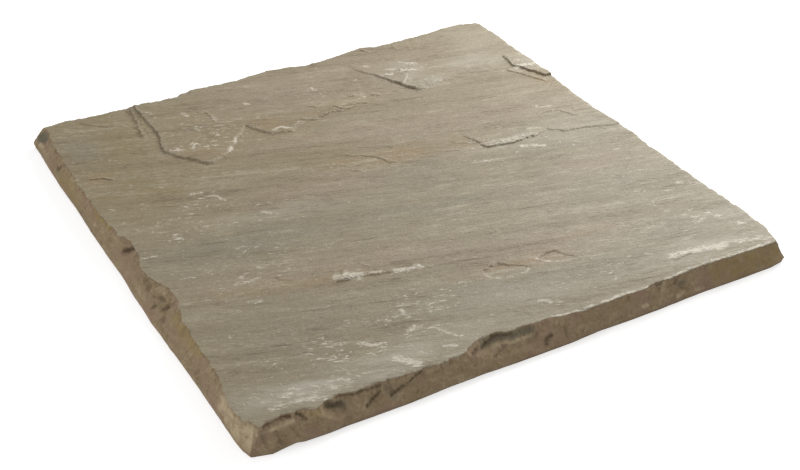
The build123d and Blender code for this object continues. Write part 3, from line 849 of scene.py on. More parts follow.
    def relief(self, sides: np.ndarray, places: np.ndarray) -> np.ndarray:
        """How far the stone stands out from the solid's flat facets.

        Args:
            sides: The side that each place is on.
            places: The places in space, in millimetres.

        Returns:
            The relief in millimetres, below 0 where stone was bitten away.
        """
        alongs, heights = self.unrolled(sides, places)
        bitten = np.zeros(len(places))
        for number, bite in enumerate(self.all_bites()):
            here = (sides == bite.side.value) & (np.abs(alongs - bite.along) < bite.half_length)
            lie = self.bite_leans[number % 2] * (alongs[here] - bite.along)
            spread = ((alongs[here] - bite.along) / bite.half_length) ** 2
            spread = spread + ((heights[here] - bite.height + lie) / bite.half_height) ** 2
            bitten[here] = np.maximum(bitten[here], bite.depth * np.clip(1.0 - spread, 0.0, None))
        x, y, up = places.T
        run = x + y
        lean = self.furrow_lean * up
        slant = np.stack([x + lean, y + lean, up * self.furrow_rise], axis=1)
        furrow = 1.0 - self.furrow_depth * np.abs(self.furrows.over(slant))
        furrow = furrow * smooth_step(*self.furrow_span, self.furrow_zones.over(places))
        bedding = self.beds.over(np.stack([run, run * 0.0, up], axis=1))
        whole = self.stand_out + self.lump * self.lumps.over(places) + self.groove * furrow
        whole = whole + self.strata * bedding + self.grit * self.grits.over(places) - bitten
        calm = 1.0 - self.arris_calm * smooth_step(*self.calm_span, up)
        foot = self.foot_share + (1.0 - self.foot_share) * smooth_step(*self.foot_span, up)
        return whole * calm * foot + self.ragged(sides, places)

    def ragged(self, sides: np.ndarray, places: np.ndarray) -> np.ndarray:
        """Breaks the arris in small steps, most on the left side and least on the right half of the front.

        Args:
            sides: The side that each place is on.
            places: The places in space, in millimetres.

        Returns:
            How far the stone stands out under the arris, in millimetres.
        """
        x, y, up = places.T
        plain = np.column_stack([x + y * self.jag_lean, y - x * self.jag_lean])
        broad = smooth_step(*self.jag_span, self.broad_jags.over(plain)) - 0.5
        small = smooth_step(*self.jag_span, self.small_jags.over(plain)) - 0.5
        front = self.jag_shares[0] - self.front_calm * smooth_step(*self.front_calm_span, x)
        share = np.choose(sides, [front, *self.jag_shares[1:]])
        return self.arris_jag * share * (broad + self.small_jag * small) * smooth_step(*self.jag_heights, up)

    def runs_across(self, sides: np.ndarray) -> np.ndarray:
        """Tells which of the places are on the front or the back."""
        return (sides == Side.FRONT.value) | (sides == Side.BACK.value)

    def unrolled(self, sides: np.ndarray, places: np.ndarray) -> tuple[np.ndarray, np.ndarray]:
        """Finds each place along its side and up it, moved a little so that outlines break as stone does.

        Args:
            sides: The side that each place is on.
            places: The places in space, in millimetres.

        Returns:
            The places along the sides and the heights, in millimetres.
        """
        alongs = np.where(self.runs_across(sides), places[:, 0], places[:, 1])
        reach_along, reach_up = self.drift_reach
        heights = places[:, 2] + reach_up * self.drift_up.over(places)
        return alongs + reach_along * self.drift_along.over(places), heights

    def stains_and_painted_light(self, sides: np.ndarray, places: np.ndarray) -> dict[SideTone, np.ndarray]:
        """How strongly the listed marks lie on each place.

        Args:
            sides: The side that each place is on.
            places: The places in space, in millimetres.

        Returns:
            The strength of each kind of mark, from 0 to 1.
        """
        spots = np.column_stack(self.unrolled(sides, places))
        stains_and_painted_light = {tone: np.zeros(len(places)) for tone in SideTone}
        for side, tone, rows in self.marks:
            here = np.flatnonzero(sides == side.value)
            for width, strength, *line in rows:
                distance = line_distance(spots[here], paired(line))[0]
                stain_and_painted_light = np.minimum(self.stain_and_painted_light_gain * strength, 1.0) * np.exp(-((distance / width) ** 4))
                stains_and_painted_light[tone][here] = np.maximum(stains_and_painted_light[tone][here], stain_and_painted_light)
        return stains_and_painted_light

    def crests_and_pocket_shade(self, sides: np.ndarray, places: np.ndarray) -> tuple[np.ndarray, np.ndarray]:
        """Finds the rubbed crests and the pockets of the sides, which are darkened as painted shade.

        Args:
            sides: The side that each place is on.
            places: The places in space, in millimetres.

        Returns:
            How much each place is a crest, and how much it is a pocket that is darkened as painted shade,
            from 0 to 1.
        """
        middle = self.relief(sides, places)
        across = self.runs_across(sides)
        around = np.zeros(len(middle))
        reach = self.crest_reach
        for along, up in ((reach, 0.0), (-reach, 0.0), (0.0, reach), (0.0, -reach)):
            moved = places + np.stack([across * along, ~across * along, np.full(len(places), up)], axis=1)
            around += 0.25 * self.relief(sides, moved)
        crest = (middle - around) / self.crest_height
        return np.clip(crest, 0.0, 1.0), np.clip(-crest, 0.0, 1.0)


def read_rows(items: bpy.types.bpy_prop_collection, name: str, width: int, kind: type = float) -> np.ndarray:
    """Reads one property of all of a mesh's items.

    Args:
        items: The mesh's vertices, edges or polygons.
        name: The property.
        width: How many numbers each item has.
        kind: The type of the numbers.

    Returns:
        The numbers, one row per item.
    """
    numbers = np.empty(len(items) * width, dtype=kind)
    items.foreach_get(name, numbers)
    return numbers.reshape(-1, width)


@dataclass
class RivenSlab:
    """The slab itself: one stone with a cleft face, four dressed sides and a flat bed."""

    blank_half: float = 288.0
    blank_thickness: float = 26.0
    spacing: float = 1.05
    quick_spacing: float = 2.4
    side_rows: int = 22
    most_triangles: int = 188000
    chip_depth: float = 1.7
    chip_reach: float = 7.0
    chip_span: Span = (0.0, 0.75)
    chip_least: float = 0.35
    chip_curve: float = 1.4
    small_chip: float = 0.35
    wear_depth: float = 0.45
    wear_reach: float = 2.2
    foot_height: float = 2.0
    foot_relief: float = 0.2
    crest_height: float = 0.6
    smooth_angle: float = 52.0
    hair: float = 0.01
    top_level: float = 0.999
    foot_gap: float = 0.05
    top_gap: float = 0.15
    relief_reach: float = 2.0
    broad_chips: Grain = Grain(61, 21.0, 2, 0.5)
    small_chips: Grain = Grain(61, 5.0, 2, 0.5)
    face: CleftFace = field(default_factory=CleftFace)
    sides: DressedSides = field(default_factory=DressedSides)

    def blank(self) -> bpy.types.Object:
        """Lays out the square blank: a finely ruled top, four sides in rows and a flat bottom in one face.

        Returns:
            The blank, in millimetres.
        """
        size, top = 2 * self.blank_half, self.blank_thickness
        cuts = int(round(size / self.spacing))
        bpy.ops.object.select_all(action="DESELECT")
        bpy.ops.mesh.primitive_grid_add(
            x_subdivisions=cuts, y_subdivisions=cuts, size=size, location=(0, 0, top)
        )
        slab = bpy.context.object
        slab.name = "riven_slab"
        bpy.ops.object.transform_apply(location=True, rotation=True, scale=True)
        bpy.ops.object.mode_set(mode="EDIT")
        bpy.ops.mesh.select_mode(type="EDGE")
        bpy.ops.mesh.select_all(action="DESELECT")
        bpy.ops.mesh.select_non_manifold()
        bpy.ops.mesh.extrude_region_move(TRANSFORM_OT_translate={"value": (0, 0, -top)})
        bpy.ops.object.mode_set(mode="OBJECT")
        mesh = slab.data
        heights = read_rows(mesh.vertices, "co", 3)[:, 2]
        ends = heights[read_rows(mesh.edges, "vertices", 2, np.int64)]
        mesh.edges.foreach_set("select", np.abs(ends[:, 0] - ends[:, 1]) > 1.0)
        mesh.vertices.foreach_set("select", np.zeros(len(heights), dtype=bool))
        mesh.polygons.foreach_set("select", np.zeros(len(mesh.polygons), dtype=bool))
        bpy.ops.object.mode_set(mode="EDIT")
        bpy.ops.mesh.subdivide(number_cuts=self.side_rows - 1)
        bpy.ops.mesh.select_all(action="DESELECT")
        bpy.ops.mesh.select_non_manifold()
        bpy.ops.mesh.edge_face_add()
        bpy.ops.object.mode_set(mode="OBJECT")
        return slab

    def side_of(self, border: np.ndarray) -> np.ndarray:
        """Tells the number of the side that each place of the blank's border is on."""
        x, y = border[:, 0], border[:, 1]
        across = np.where(y < 0, Side.FRONT.value, Side.BACK.value)
        return np.where(np.abs(y) >= np.abs(x), across, np.where(x > 0, Side.RIGHT.value, Side.LEFT.value))

    def side_places(
        self, border: np.ndarray, levels: np.ndarray, tops: np.ndarray, probe: SolidProbe
    ) -> np.ndarray:
        """Works out where the vertices of the sides go.

        Args:
            border: The vertices' places in plan, on the blank's border.
            levels: Each vertex's share of the way up, from 0 at the foot to 1 at the arris.
            tops: The height of the arris over each vertex.
            probe: The solid that the sides follow.

        Returns:
            The places in space, in millimetres.
        """
        inner = self.blank_half - self.sides.corner_reach
        anchors = np.clip(border, -inner, inner)
        ways = border - anchors
        ways = ways / np.linalg.norm(ways, axis=1, keepdims=True)
        heights = levels * tops
        felt_at = np.clip(heights, self.foot_gap, self.blank_thickness - self.top_gap)
        felt = probe.side_distance(np.column_stack([anchors, felt_at]), ways)
        plain = anchors + ways * felt[:, None]
        relief = self.sides.relief(self.side_of(border), np.column_stack([plain, heights]))
        relief = np.where(heights < self.foot_height, np.minimum(relief, self.foot_relief), relief)
        return np.column_stack([plain + ways * relief[:, None], heights])

    def plan(self, blank: np.ndarray, steps: np.ndarray, probe: SolidProbe) -> np.ndarray:
        """Stretches the blank's ruling between the four arrises.

        Args:
            blank: The vertices' places on the blank.
            steps: The places of the ruling's lines.
            probe: The solid that the arrises follow.

        Returns:
            The places in plan, in millimetres.
        """
        level = np.ones(len(steps))
        edge = level * self.blank_half
        front, right, back, left = (
            self.side_places(np.column_stack(line), level, level * self.blank_thickness, probe)[:, :2]
            for line in ((steps, -edge), (edge, steps), (steps, edge), (-edge, steps))
        )
        last = len(steps) - 1
        u, v = (np.searchsorted(steps, np.round(blank[:, axis], 3) - 1e-4).clip(0, last) for axis in (0, 1))
        share_u, share_v = (u / last)[:, None], (v / last)[:, None]
        lengthways = (1 - share_v) * front[u] + share_v * back[u]
        crossways = (1 - share_u) * left[v] + share_u * right[v]
        corners = (
            ((1 - share_u) * (1 - share_v)) * front[0]
            + (share_u * (1 - share_v)) * front[-1]
            + ((1 - share_u) * share_v) * back[0]
            + (share_u * share_v) * back[-1]
        )
        return lengthways + crossways - corners

    def shape(self, slab: bpy.types.Object, probe: SolidProbe) -> None:
        """Turns the blank into stone: finds the arris, dresses the sides and cleaves the face.

        Args:
            slab: The blank, in millimetres. Its mesh ends in metres.
            probe: The solid that the stone follows.
        """
        mesh = slab.data
        blank = read_rows(mesh.vertices, "co", 3)
        level = blank[:, 2] / self.blank_thickness
        inwards = self.blank_half - np.maximum(np.abs(blank[:, 0]), np.abs(blank[:, 1]))
        on_border = inwards < self.hair
        on_top = level > self.top_level
        steps = np.unique(np.round(blank[on_top & on_border, 0], 3))
        top_plan = self.plan(blank, steps, probe)[on_top]
        height, step_gap, step_mark = self.face.cleave(top_plan, probe)
        edge_gap = inwards[on_top]
        chips = self.broad_chips.over(top_plan) + self.small_chip * self.small_chips.over(top_plan)
        chipped = smooth_step(*self.chip_span, chips)
        bevel = np.clip(1.0 - edge_gap / (self.chip_reach * (self.chip_least + chipped)), 0.0, 1.0)
        worn = np.clip(1.0 - edge_gap / self.wear_reach, 0.0, 1.0)
        height -= self.chip_depth * chipped * bevel**self.chip_curve + self.wear_depth * worn * worn

        shaped = np.empty_like(blank)
        shaped[on_top] = np.column_stack([top_plan, height])
        ring = np.flatnonzero(on_top & on_border)
        ring_height = dict(zip(map(tuple, np.round(blank[ring, :2], 2)), shaped[ring, 2]))
        below = np.flatnonzero(~on_top)
        tops = np.array([ring_height[tuple(place)] for place in np.round(blank[below, :2], 2)])
        shaped[below] = self.side_places(blank[below, :2], level[below], tops, probe)

        masks = self.masks(blank, shaped, on_top)
        masks[Mask.STEP_GAP] += self.face.mark_reach
        masks[Mask.STEP_GAP][on_top] = step_gap
        masks[Mask.STEP_MARK][on_top] = step_mark
        for mask, values in masks.items():
            layer = mesh.attributes.new(mask.value, "FLOAT", "POINT")
            layer.data.foreach_set("value", values.astype(np.float32))
        mesh.vertices.foreach_set("co", (shaped * MM).ravel())
        mesh.update()

    def masks(self, blank: np.ndarray, shaped: np.ndarray, on_top: np.ndarray) -> dict[Enum, np.ndarray]:
        """Works out what the finishes read: crests, hollows for painted shade, pale scuffs and soft tones,
        some of them with painted shade and sheen.

        Args:
            blank: The vertices' places on the blank.
            shaped: The vertices' places on the stone.
            on_top: Which vertices belong to the cleft face.

        Returns:
            Each mask's values at the vertices.
        """
        masks = {mask: np.zeros(len(blank)) for mask in (*Mask, *SideTone, *Tone)}
        below = ~on_top
        side_count = int(round(math.sqrt(on_top.sum())))
        order = np.lexsort((np.round(blank[on_top, 0], 3), np.round(blank[on_top, 1], 3)))
        grid = shaped[on_top][order, 2].reshape(side_count, side_count)
        pitch = 2 * self.blank_half / (side_count - 1)
        relief = np.zeros(on_top.sum())
        relief[order] = (grid - blurred(grid, self.relief_reach / pitch)).ravel()
        masks[Mask.CHALK][on_top] = self.face.chalk(shaped[on_top, :2])
        masks[Mask.CREST][on_top] = np.clip(relief / self.crest_height, 0.0, 1.0)
        masks[Mask.HOLLOW_SHADE][on_top] = np.clip(-relief / self.crest_height, 0.0, 1.0)
        number = self.side_of(blank[below])
        masks[Mask.CREST][below], masks[Mask.HOLLOW_SHADE][below] = self.sides.crests_and_pocket_shade(number, shaped[below])
        for tone, strength in self.sides.stains_and_painted_light(number, shaped[below]).items():
            masks[tone][below] = strength
        for tone, strength in self.face.tones(shaped[on_top, :2]).items():
            masks[tone][on_top] = strength
        return masks

    def assign_regions(self, slab: bpy.types.Object, finishes: dict[Region, bpy.types.Material]) -> None:
        """Gives each face the finish of its part of the stone.

        Args:
            slab: The blank, before it is shaped.
            finishes: The material of each region.
        """
        for region in Region:
            slab.data.materials.append(finishes[region])
        heights = read_rows(slab.data.polygons, "center", 3)[:, 2]
        slots = np.full(len(heights), Region.DRESSED_SIDE.value)
        slots[heights > self.blank_thickness - self.hair] = Region.CLEFT_FACE.value
        slots[heights < self.hair] = Region.BED.value
        slab.data.polygons.foreach_set("material_index", slots)

    def build(self, frame: dict, finishes: dict[Region, bpy.types.Material]) -> bpy.types.Object:
        """Makes the slab and puts it in the place of the solid.

        Args:
            frame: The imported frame.
            finishes: The material of each region.

        Returns:
            The finished slab.
        """
        slab = self.blank()
        self.assign_regions(slab, finishes)
        self.shape(slab, SolidProbe(frame["nodes"][SLAB_NODE]))
        bpy.ops.object.mode_set(mode="EDIT")
        bpy.ops.mesh.select_all(action="SELECT")
        bpy.ops.mesh.normals_make_consistent(inside=False)
        bpy.ops.object.mode_set(mode="OBJECT")
        slab.data.calc_loop_triangles()
        triangles = len(slab.data.loop_triangles)
        if triangles > self.most_triangles:
            thinner = slab.modifiers.new("thinner", "DECIMATE")
            thinner.ratio = self.most_triangles / triangles
            bpy.ops.object.modifier_apply(modifier=thinner.name)
        bpy.ops.object.shade_smooth_by_angle(angle=math.radians(self.smooth_angle))
        slab.data.calc_loop_triangles()
        log.info("%s has %d triangles", slab.name, len(slab.data.loop_triangles))
        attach(slab, "root")
        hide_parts(SLAB_NODE)
        return slab


def blurred(grid: np.ndarray, reach: float) -> np.ndarray:
    """Smooths a ruled field of values.

    Args:
        grid: The values, in rows and columns.
        reach: How far the smoothing reaches, in cells.

    Returns:
        The smoothed values.
    """
    size = max(1, int(round(3 * reach)))
    weights = np.exp(-0.5 * (np.arange(-size, size + 1) / reach) ** 2)
    weights /= weights.sum()
    for axis, length in enumerate(grid.shape):
        padding = [(size, size) if axis == side else (0, 0) for side in (0, 1)]
        padded = np.pad(grid, padding, mode="edge")
        slices = (np.take(padded, range(shift, shift + length), axis=axis) for shift in range(len(weights)))
        grid = np.sum([weight * piece for weight, piece in zip(weights, slices)], axis=0)
    return grid


@dataclass(frozen=True)
class Weave:
    """A noise of a finish: its scale per metre, the same or each way, and how its finer noise is added."""

    scale: float | Space
    detail: float = 3.0
    roughness: float = 0.6
    warp: float = 0.0


class NodeBench:
    """A material's, the room's or a group's nodes, laid out one by one."""

    def __init__(self, tree: bpy.types.NodeTree) -> None:
        """Takes the tree to work on, and empties it."""
        self.tree = tree
        tree.nodes.clear()

    def add(self, kind: str, feeds: Feeds | None = None, **settings: object) -> bpy.types.Node:
        """Adds a node.

        Args:
            kind: The node's type name, without its ShaderNode prefix.
            feeds: What feeds its inputs.
            **settings: The node's own settings.

        Returns:
            The node.
        """
        node = self.tree.nodes.new("ShaderNode" + kind)
        for name, value in settings.items():
            setattr(node, name, value)
        self.feed(node, feeds or {})
        return node

    def feed(self, node: bpy.types.Node, feeds: Feeds) -> None:
        """Links a node's inputs, or sets them to plain values.

        Args:
            node: The node.
            feeds: An output socket, a value or a colour for each input.
        """
        for name, source in feeds.items():
            target = node.inputs[name]
            if isinstance(source, Socket):
                self.tree.links.new(source, target)
            else:
                target.default_value = (*source, 1.0) if target.type == "RGBA" else source

    def maths(self, operation: str, first: object, second: object = 0.0) -> Socket:
        """Adds a Math node of two values."""
        return self.add("Math", {0: first, 1: second}, operation=operation).outputs[0]

    def times(self, first: object, second: object) -> Socket:
        """Multiplies two values."""
        return self.maths("MULTIPLY", first, second)

    def summed(self, values: tuple[Socket, ...], weights: Row) -> Socket:
        """Adds values up, each times its weight.

        Args:
            values: The values' sockets.
            weights: Their weights.

        Returns:
            The socket of the sum.
        """
        parts = [self.times(value, weight) for value, weight in zip(values, weights)]
        total = parts[0]
        for part in parts[1:]:
            total = self.maths("ADD", total, part)
        return total

    def ranged(self, value: Socket, span: Span, onto: Span = (0.0, 1.0)) -> Socket:
        """Eases a value from one span to another.

        Args:
            value: The value's socket.
            span: Where it starts and ends.
            onto: What the start and the end become.

        Returns:
            The result's socket.
        """
        (low, high), (to_low, to_high) = span, onto
        feeds = {"Value": value, "From Min": low, "From Max": high, "To Min": to_low, "To Max": to_high}
        return self.add("MapRange", feeds, interpolation_type="SMOOTHSTEP").outputs["Result"]

    def noise(self, place: Socket, weave: Weave) -> Socket:
        """Adds a Noise Texture, and the stretch that it may need.

        Args:
            place: The vector that it reads.
            weave: Its pattern.

        Returns:
            The socket of its value.
        """
        scale = weave.scale
        if isinstance(scale, tuple):
            place = self.add("Mapping", {"Vector": place, "Scale": scale}).outputs[0]
            scale = 1.0
        feeds = {"Vector": place, "Scale": scale, "Detail": weave.detail, "Roughness": weave.roughness}
        return self.add("TexNoise", {**feeds, "Distortion": weave.warp}, noise_dimensions="3D").outputs[0]

    def mixed(self, share: object, first: object, second: object, blend: str = "MIX") -> Socket:
        """Adds a Mix node for colours.

        Args:
            share: How much of the second colour there is.
            first: The first colour.
            second: The second colour.
            blend: The way that they are mixed.

        Returns:
            The socket of the mixed colour.
        """
        return self.add("Mix", {0: share, 6: first, 7: second}, data_type="RGBA", blend_type=blend).outputs[2]

    def laid(self, colour: object, mask: Socket, share: object, tint: Tint) -> Socket:
        """Lays a tint over a colour, where a mask and a share of it say."""
        return self.mixed(self.times(mask, share), colour, linear_tint(*tint))

    def attribute(self, mask: Enum) -> Socket:
        """Adds an Attribute node for one of the slab's masks."""
        return self.add("Attribute", attribute_type="GEOMETRY", attribute_name=mask.value).outputs["Fac"]

    def effect(self, effect: Effect, **feeds: Socket) -> dict[str, Socket]:
        """Places one of the shared effects.

        Args:
            effect: The effect.
            **feeds: What feeds each of its inputs.

        Returns:
            The sockets that it puts out, by name.
        """
        node = self.add("Group", node_tree=bpy.data.node_groups[effect.value])
        self.feed(node, feeds)
        return dict(node.outputs.items())


@dataclass(frozen=True)
class StoneEffects:
    """The effects that the stone's finishes share, each as a node group."""

    bands: Weave = Weave((4.0, 34.0, 40.0), 3.0, 0.55, 0.3)
    medium: Weave = Weave((17.0, 170.0, 170.0), 4.0, 0.68, 0.5)
    fine: Weave = Weave((120.0, 430.0, 430.0), 3.0, 0.7, 0.4)
    cloud: Weave = Weave((36.0, 64.0, 64.0), 4.0, 0.68, 0.6)
    dashes: Weave = Weave((34.0, 520.0, 520.0), 2.0, 0.5, 0.4)
    dash_zones: Weave = Weave((12.0, 40.0, 40.0))
    blotches: Weave = Weave(62.0, 4.0, 0.62, 0.3)
    crumbs: Weave = Weave(330.0, 3.0, 0.65, 0.2)
    beds: Weave = Weave((14.0, 14.0, 330.0), warp=0.4)
    cracks: Weave = Weave((90.0, 90.0, 60.0), warp=1.2)
    crack_zones: Weave = Weave(34.0, 2.0, 0.5)
    speckle: Weave = Weave(480.0, 3.0, 0.65)
    coarse: Weave = Weave(300.0)
    cell_scale: float = 420.0
    gap_jags: Weave = Weave(170.0, 2.0, 0.5)
    fine_gap_jags: Weave = Weave(620.0, 2.0)
    breaks: Weave = Weave(84.0, 3.0, 0.65)
    lip_zones: Weave = Weave(48.0)
    flakes: Weave = Weave((150.0, 360.0, 360.0), 3.0, 0.62, 0.6)
    flake_crumbs: Weave = Weave((150.0, 400.0, 400.0), 4.0, 0.7, 0.6)
    clumps: Weave = Weave((30.0, 60.0, 60.0))
    wear: Weave = Weave((260.0, 700.0, 700.0), 3.0, 0.7)
    streak_tone: Row = (0.24, 0.26, 0.20, 0.30)
    streak_ridges: Row = (0.50, 0.35, 0.15)
    dash_span: Span = (0.40, 0.31)
    dash_zone_span: Span = (0.48, 0.66)
    dash_depth: float = 0.35
    chip_tone: Row = (0.42, 0.38, 0.20)
    chip_ridges: Row = (0.55, 0.30, 0.15)
    crack_span: Span = (0.012, 0.002)
    crack_zone_span: Span = (0.54, 0.64)
    pit_weights: Row = (0.5, 0.8)
    gap_reaches: Span = (3.2, 2.0)
    break_spans: tuple[Span, Span] = ((0.38, 0.60), (0.25, 1.0))
    foot_spans: tuple[Span, Span] = ((-2.3, -0.7), (0.6, 0.1))
    lip_spans: tuple[Span, Span] = ((0.3, 0.9), (2.4, 1.2))
    lip_zone_span: Span = (0.44, 0.62)
    clump_span: Span = (0.36, 0.66)
    loose_share: float = 0.21
    loose_spans: tuple[Span, Span] = ((0.67, 0.75), (0.0, 0.90))
    scuff_weights: Row = (0.46, 0.55)
    scuff_span: Span = (0.97, 1.16)
    scuff_rim: Span = (0.02, 0.20)
    wear_spans: tuple[Span, Span] = ((0.36, 0.60), (0.35, 1.0))

    def group(self, effect: Effect, inputs: tuple[str, ...], outputs: tuple[str, ...]) -> tuple:
        """Starts a node group.

        Args:
            effect: The effect that it makes.
            inputs: The names of its inputs after the vector.
            outputs: The names of its outputs.

        Returns:
            The bench to build it on, the sockets of its inputs and its output node.
        """
        tree = bpy.data.node_groups.new(effect.value, "ShaderNodeTree")
        tree.interface.new_socket("Vector", in_out="INPUT", socket_type="NodeSocketVector")
        for way, labels in (("INPUT", inputs), ("OUTPUT", outputs)):
            for label in labels:
                tree.interface.new_socket(label, in_out=way, socket_type="NodeSocketFloat")
        bench = NodeBench(tree)
        given = tree.nodes.new("NodeGroupInput").outputs
        return bench, [given[label] for label in ("Vector", *inputs)], tree.nodes.new("NodeGroupOutput")

    def build(self) -> None:
        """Builds every group."""
        self.build_streaks()
        self.build_chips()
        self.build_grain()
        self.build_steps()
        self.build_flecks()

    def bedded(self, bench: NodeBench, place: Socket) -> Socket:
        """Bends a vector so that its second part follows the bedding over the cleft face.

        Args:
            bench: The group's bench.
            place: The vector, in metres.

        Returns:
            The socket of the bent vector.
        """
        x, y, up = bench.add("SeparateXYZ", {0: place}).outputs
        slope = bench.maths("SUBTRACT", BEDDING_LEAN, bench.times(x, BEDDING_CURVE))
        lie = bench.maths("ADD", y, bench.times(x, slope))
        return bench.add("CombineXYZ", {0: x, 1: lie, 2: up}).outputs[0]

    def build_streaks(self) -> None:
        """Streaks along the bedding: soft bands, a finer fibre and thin torn cuts, whose dark colour is
        painted shade.
        """
        bench, (place,), result = self.group(Effect.STREAKS, (), ("Tone", "Ridges", "Cuts"))
        lie = self.bedded(bench, place)
        noises = (self.bands, self.medium, self.fine, self.cloud, self.dashes, self.dash_zones)
        bands, medium, fine, cloud, dashes, zones = (bench.noise(lie, weave) for weave in noises)
        tone = bench.summed((bands, medium, cloud, fine), self.streak_tone)
        ridges = bench.summed((medium, fine, cloud), self.streak_ridges)
        cuts = bench.times(bench.ranged(dashes, self.dash_span), bench.ranged(zones, self.dash_zone_span))
        ridges = bench.maths("SUBTRACT", ridges, bench.times(cuts, self.dash_depth))
        bench.feed(result, {"Tone": tone, "Ridges": ridges, "Cuts": cuts})

    def build_chips(self) -> None:
        """The mottling of chiselled stone, which runs no particular way, and thin cracks whose dark colour is
        painted shade.
        """
        bench, (place,), result = self.group(Effect.CHIPS, (), ("Tone", "Ridges", "Cuts"))
        noises = (self.blotches, self.crumbs, self.beds, self.cracks, self.crack_zones)
        blotches, crumbs, beds, cracks, zones = (bench.noise(place, weave) for weave in noises)
        tone = bench.summed((blotches, crumbs, beds), self.chip_tone)
        ridges = bench.summed((blotches, crumbs, beds), self.chip_ridges)
        cuts = bench.ranged(bench.maths("ABSOLUTE", bench.maths("SUBTRACT", cracks, 0.5)), self.crack_span)
        cuts = bench.times(cuts, bench.ranged(zones, self.crack_zone_span))
        bench.feed(result, {"Tone": tone, "Ridges": ridges, "Cuts": cuts})

    def build_grain(self) -> None:
        """Sand grains: a fine speckle and the pits that it leaves."""
        bench, (place,), result = self.group(Effect.GRAIN, (), ("Speckle", "Pits"))
        cells = bench.add("TexVoronoi", {"Vector": place, "Scale": self.cell_scale}, feature="F1")
        pits = bench.summed((cells.outputs["Distance"], bench.noise(place, self.coarse)), self.pit_weights)
        bench.feed(result, {"Speckle": bench.noise(place, self.speckle), "Pits": pits})

    def build_steps(self) -> None:
        """The edges of broken beds: a painted shadow at the foot of each and a pale, bruised lip on top."""
        bench, (place, gap, mark), result = self.group(Effect.STEPS, ("Gap", "Mark"), ("Foot shadow", "Lip"))
        jags = [
            bench.times(bench.maths("SUBTRACT", bench.noise(place, weave), 0.5), reach)
            for weave, reach in zip((self.gap_jags, self.fine_gap_jags), self.gap_reaches)
        ]
        gap = bench.maths("ADD", gap, bench.maths("ADD", *jags))
        shown = bench.times(mark, bench.ranged(bench.noise(place, self.breaks), *self.break_spans))
        foot, lip = (
            bench.times(bench.ranged(gap, span_in), bench.ranged(gap, span_out))
            for span_in, span_out in (self.foot_spans, self.lip_spans)
        )
        patchy = bench.times(mark, bench.ranged(bench.noise(place, self.lip_zones), self.lip_zone_span))
        bench.feed(result, {"Foot shadow": bench.times(foot, shown), "Lip": bench.times(lip, patchy)})

    def build_flecks(self) -> None:
        """Pale flecks and scuffs, drawn out along the bedding and with crisp outlines."""
        bench, (place, density, scuffs), result = self.group(Effect.FLECKS, ("Density", "Scuffs"), ("Mask",))
        lie = self.bedded(bench, place)
        noises = (self.flakes, self.flake_crumbs, self.clumps, self.wear)
        flakes, crumbs, clumps, wear = (bench.noise(lie, weave) for weave in noises)
        loose = bench.times(bench.times(density, bench.ranged(clumps, self.clump_span)), self.loose_share)
        loose = bench.ranged(bench.maths("ADD", flakes, loose), *self.loose_spans)
        scuffed = bench.maths("ADD", crumbs, bench.times(scuffs, self.scuff_weights[0]))
        scuffed = bench.maths("ADD", scuffed, bench.times(flakes, self.scuff_weights[1]))
        scuffed = bench.times(bench.ranged(scuffed, self.scuff_span), bench.ranged(scuffs, self.scuff_rim))
        worn = bench.ranged(wear, *self.wear_spans)
        bench.feed(result, {"Mask": bench.times(bench.maths("MAXIMUM", loose, scuffed), worn)})


